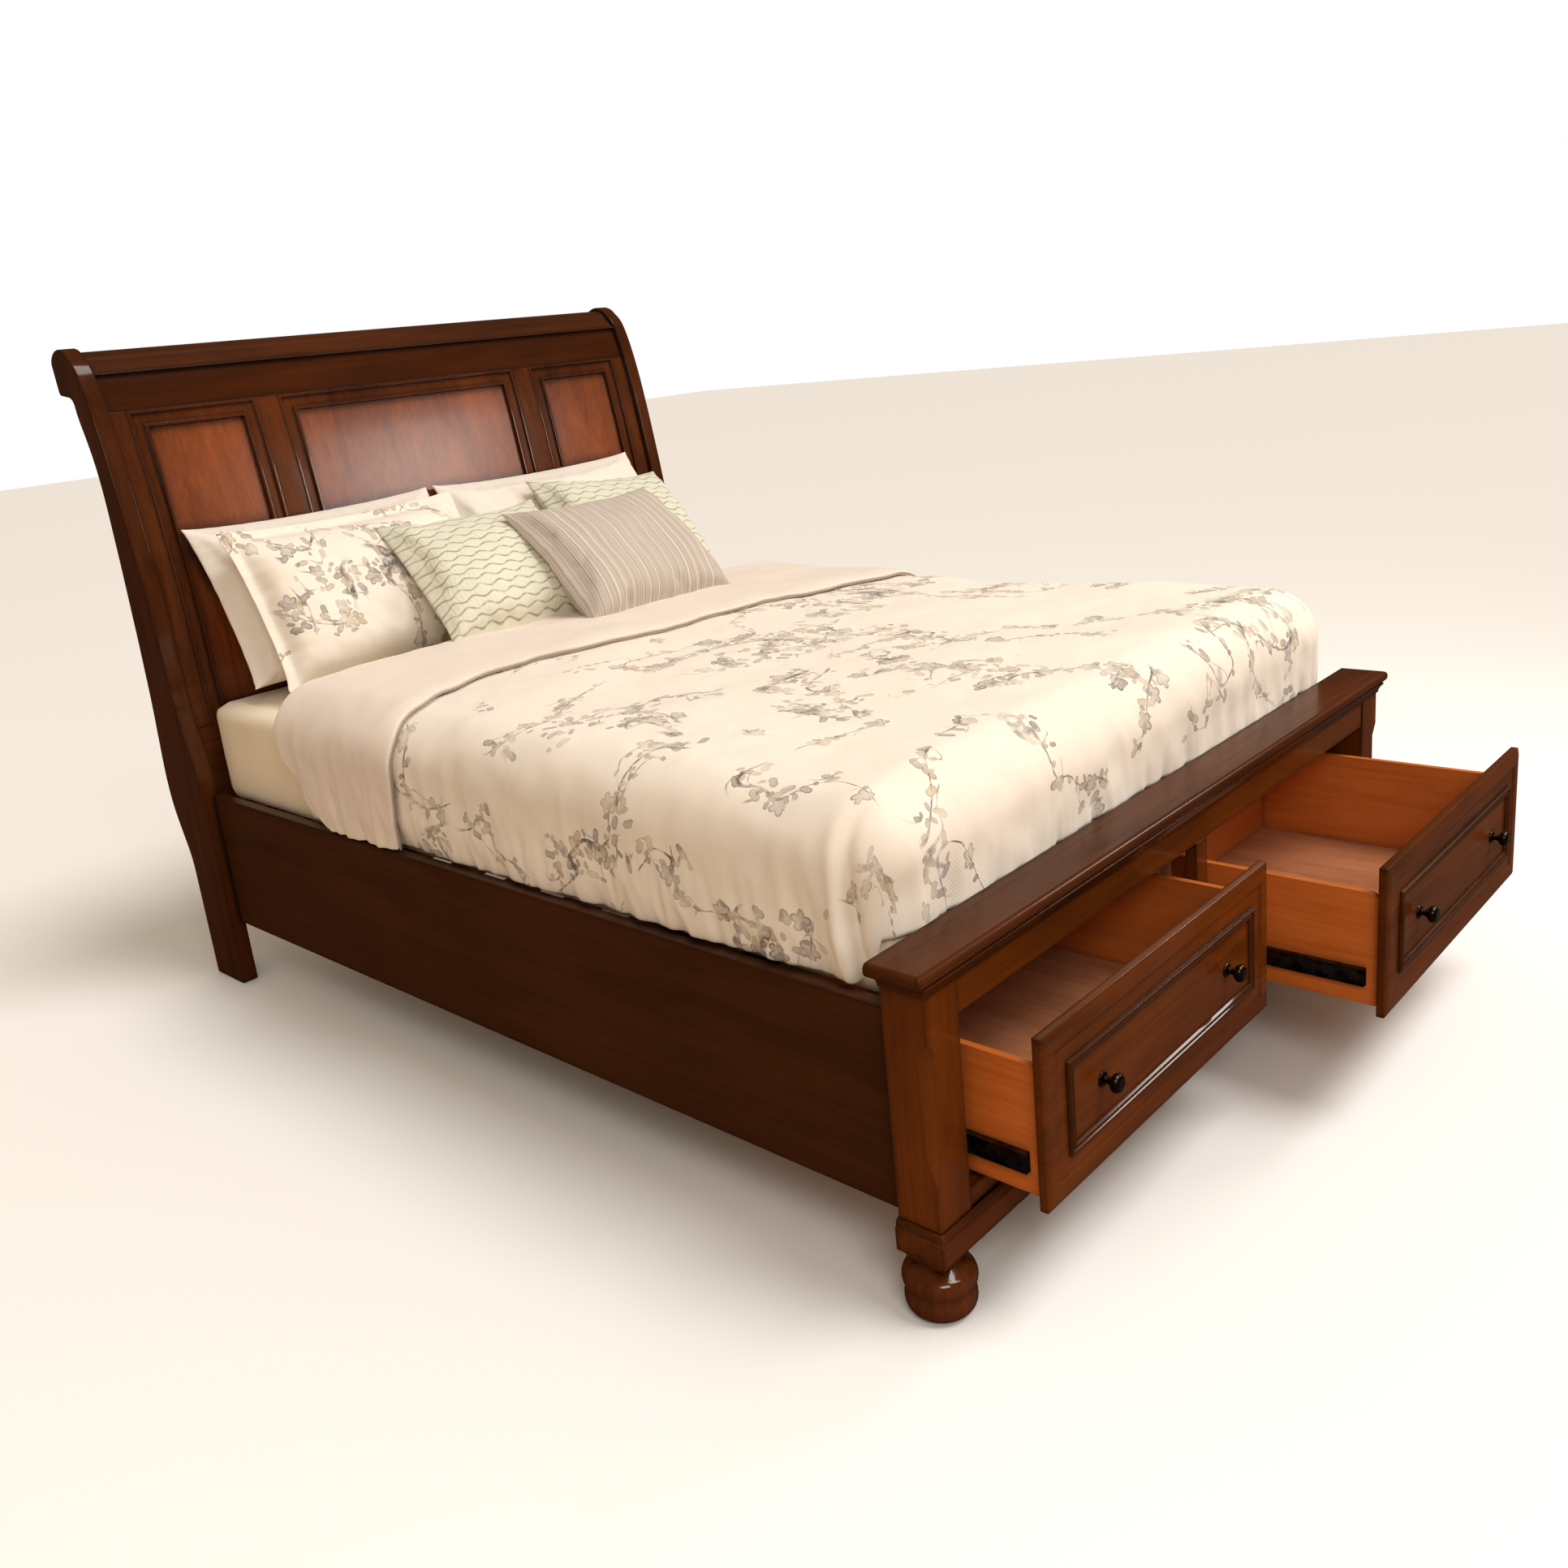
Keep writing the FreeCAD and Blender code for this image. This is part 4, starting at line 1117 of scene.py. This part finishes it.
def cut_slab(name, width, height):
    """A thin slab of cloth standing in X and Z, cut into cells, its cloth map in metres."""
    bpy.ops.object.select_all(action="DESELECT")
    columns, rows = round(width / cushion_cell), round(height / cushion_cell)
    bpy.ops.mesh.primitive_grid_add(x_subdivisions=columns, y_subdivisions=rows, size=1,
                                    rotation=(math.radians(90), 0, 0))
    piece = bpy.context.object
    piece.name = name
    piece.data.name = name
    piece.scale = (width, height, 1)
    bpy.ops.object.transform_apply(location=True, rotation=True, scale=True)
    layer = piece.data.uv_layers[0]
    for loop in piece.data.loops:
        spot = piece.data.vertices[loop.vertex_index].co
        layer.data[loop.index].uv = (spot.x + 0.7 * width, spot.z)
    slab = piece.modifiers.new("slab", "SOLIDIFY")
    slab.thickness = cloth_thickness
    slab.offset = 0
    apply_modifier(piece, "slab")
    return piece


print("a cushion is cut into cells of", cushion_cell, "m")

# %% Stuffing and sewing
gather_height, gather_spacing = 0.0045, 0.022
dent_depth, fold_depth = 0.011, 0.008
seam_wave, seam_shift, seam_pull = 0.011, 0.004, 0.035


def stuff(piece, width, thickness, height, flange, seed):
    """Push both faces out by the loft, gather the seam and draw it in; returns the lofts."""
    half_x, half_z = width / 2 - flange, height / 2 - flange
    lofts = []
    for vertex in piece.data.vertices:
        x, z = vertex.co.x, vertex.co.z
        side = 1 if vertex.co.y > 0 else -1
        across = held(x / half_x, -1.0, 1.0)
        upward = held(z / half_z, -1.0, 1.0)
        loft = loft_profile(across, upward)
        edge = min(half_x - abs(x), half_z - abs(z))
        along_seam = z if half_x - abs(x) < half_z - abs(z) else x
        gather = noise.noise(Vector((along_seam / gather_spacing + seed, edge / 0.10, side * 3.0)))
        gather *= gather_height * math.exp(-abs(edge - 0.012) / 0.035)
        dent = noise.noise(Vector((x / 0.13 + seed, z / 0.11, side * 2.0))) * dent_depth * loft
        fold = abs(noise.noise(Vector((x / 0.07 + z / 0.16, z / 0.09 + seed, side))))
        fold = fold * fold_depth * loft
        half = cloth_thickness / 2 + thickness / 2 * loft
        vertex.co.y = side * (half + gather + dent - fold)
        wave = noise.noise(Vector((x / 0.11 + seed, z / 0.11, 5.0)))
        outer = max(abs(2 * x / width), abs(2 * z / height)) ** 4
        vertex.co.y += seam_wave * wave * outer
        pull = seam_pull * loft_profile(0.0, upward) * abs(across) ** 2
        vertex.co.x = x * (1 - pull) + seam_shift * wave
        pull = seam_pull * loft_profile(across, 0.0) * abs(upward) ** 2
        vertex.co.z = z * (1 - pull) + seam_shift * wave
        lofts.append(loft)
    return lofts


def sew(name, width, thickness, height, flange):
    """One stuffed cushion, wrinkled by the short simulation."""
    piece = cut_slab(name, width, height)
    lofts = stuff(piece, width, thickness, height, flange, 10 * width + 3 * len(name))
    blow_up(piece, lofts)
    return piece


print("seams gathered every", gather_spacing, "m")

# %% [markdown]
# ## Setting the cushions on the bed
# Each cushion leans on the one behind it, and its bottom flattens under its weight. They could be
# dropped in a rigid body simulation, but they would settle anywhere. Each is turned and set at
# its own node of the frame instead, and its mesh is moved, so that the object stays at the origin.

# %% Standing and finishing
press_depth = 0.016
press_soft = 0.02
top_droop, side_curl = 0.05, 0.10


def stand(piece, node, size, lean, turn, tilt):
    """Lean and turn a cushion, droop its top a little, and set it where node is."""
    spin = (Matrix.Rotation(math.radians(turn), 3, "Z")
            @ Matrix.Rotation(math.radians(-lean), 3, "X")
            @ Matrix.Rotation(math.radians(tilt), 3, "Y"))
    moved = []
    for vertex in piece.data.vertices:
        spot = vertex.co.copy()
        spot.y += top_droop * (spot.z / size[2] + 0.5) ** 2 - side_curl * (spot.x / size[0]) ** 2
        moved.append(spin @ spot)
    box_low, box_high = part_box(node)
    middle = (box_low + box_high) / 2
    bottom = min(p.z for p in moved)
    for vertex, spot in zip(piece.data.vertices, moved):
        height = spot.z - bottom - press_depth
        if height < press_soft:
            height = press_soft * math.exp((height - press_soft) / press_soft)
        vertex.co = Vector((spot.x + middle.x, spot.y + middle.y, box_low.z + height))


def finish_cushion(piece, node, material):
    """Round a cushion off, give it its cloth, and put it in the place of its frame node."""
    make_finer(piece)
    piece.data.shade_smooth()
    piece.data.materials.clear()
    piece.data.materials.append(material)
    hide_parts(node)
    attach(piece, "bed_frame")
    print(piece.name, len(piece.data.polygons), "faces")


print("cushion helpers ready")

# %% Cushions
# Name, frame node, width, thickness and height, lean, turn and tilt in degrees, flange, cloth.
cushions = (
    ("white_cushion_left", "white_pillow_left", (0.69, 0.16, 0.44), 22, 0, 0, 0.0, white_cotton),
    ("white_cushion_right", "white_pillow_right", (0.71, 0.16, 0.44), 22, 0, 0, 0.0, white_cotton),
    ("floral_sham", "floral_pillow", (0.65, 0.16, 0.43), 22, 0, 0, 0.03, blossom_cotton),
    ("sage_cushion_left", "sage_pillow_left", (0.46, 0.15, 0.42), 43, -6, 0, 0.0, sage_cotton),
    ("sage_cushion_right", "sage_pillow_right", (0.46, 0.15, 0.42), 38, 0, 6, 0.0, sage_cotton),
    ("striped_cushion", "striped_pillow", (0.47, 0.15, 0.42), 44, -3, 0, 0.0, stripe_cotton),
)
for name, node, size, lean, turn, tilt, flange, material in cushions:
    cushion = sew(name, *size, flange)
    stand(cushion, node, size, lean, turn, tilt)
    finish_cushion(cushion, node, material)

# %% [markdown]
# ## The studio
# A plain pale floor, a white backdrop that is only light, and soft lamps: one high on the near
# side for the cloth, one to the right whose reflection glows in the headboard, and a broad sun
# overhead. A closed room with walls would do as well, but its walls would show in other views.
# What the gloss reflects of the room is kept dark, as with black cloths round a set, and the
# floor throws back a warm light, as a wooden one would.

# %% Floor
floor_seen = (0.93, 0.93, 0.94, 1)
floor_bounce = (0.52, 0.38, 0.26, 1)
floor_in_gloss = (0.05, 0.03, 0.018, 1)


def make_floor():
    """A pale floor that looks dark in the lacquer and throws a warm light upwards."""
    bpy.ops.object.select_all(action="DESELECT")
    bpy.ops.mesh.primitive_plane_add(size=60, location=(0, 0, -0.001))
    floor = bpy.context.object
    floor.name = "studio_floor"
    paint = bpy.data.materials.new("pale_floor")
    paint.use_nodes = True
    shader = paint.node_tree.nodes["Principled BSDF"]
    tree = paint.node_tree
    path = add_node(tree, "ShaderNodeLightPath").outputs
    shade = blend_colours(tree, path["Is Camera Ray"], floor_bounce, floor_seen)
    shade = blend_colours(tree, path["Is Glossy Ray"], shade, floor_in_gloss)
    tree.links.new(shade, shader.inputs["Base Color"])
    shader.inputs["Roughness"].default_value = 0.7
    floor.data.materials.append(paint)


make_floor()
print("floor ready")

# %% Lamps and backdrop
lamp_colour = (1, 0.96, 0.91)
room_light = (0.52, 0.42, 0.31, 1)
room_in_gloss = (0.07, 0.05, 0.035, 1)


def lamp(name, place, aim, size, power):
    """A rectangular area lamp at a place, turned towards its aim."""
    data = bpy.data.lights.new(name, "AREA")
    data.shape = "RECTANGLE"
    data.size, data.size_y = size
    data.energy = power
    data.color = lamp_colour
    obj = bpy.data.objects.new(name, data)
    scene.collection.objects.link(obj)
    obj.location = place
    obj.rotation_euler = (Vector(aim) - Vector(place)).to_track_quat("-Z", "Y").to_euler()


lamp("key_lamp", (-2.6, -3.4, 3.1), (0, 0.2, 0.6), (1.6, 1.2), 52)
lamp("panel_lamp", (2.15, -2.1, 2.0), (-0.05, 1.15, 1.2), (0.9, 0.5), 28)
soft_sun = bpy.data.lights.new("soft_sun", "SUN")
soft_sun.energy = 1.86
soft_sun.angle = math.radians(28)
soft_sun.color = (1, 0.97, 0.93)
sun = bpy.data.objects.new("soft_sun", soft_sun)
scene.collection.objects.link(sun)
sun.rotation_euler = Vector((-0.25, 0.45, -1.0)).to_track_quat("-Z", "Y").to_euler()
world = bpy.data.worlds.new("studio_world")
world.use_nodes = True
sky = world.node_tree.nodes["Background"]
path = add_node(world.node_tree, "ShaderNodeLightPath").outputs
glow = blend_colours(world.node_tree, path["Is Glossy Ray"], room_light, room_in_gloss)
glow = blend_colours(world.node_tree, path["Is Camera Ray"], glow, (1, 1, 1, 1))
world.node_tree.links.new(glow, sky.inputs["Color"])
scene.world = world
scene.view_settings.view_transform = "Standard"
print("studio ready")
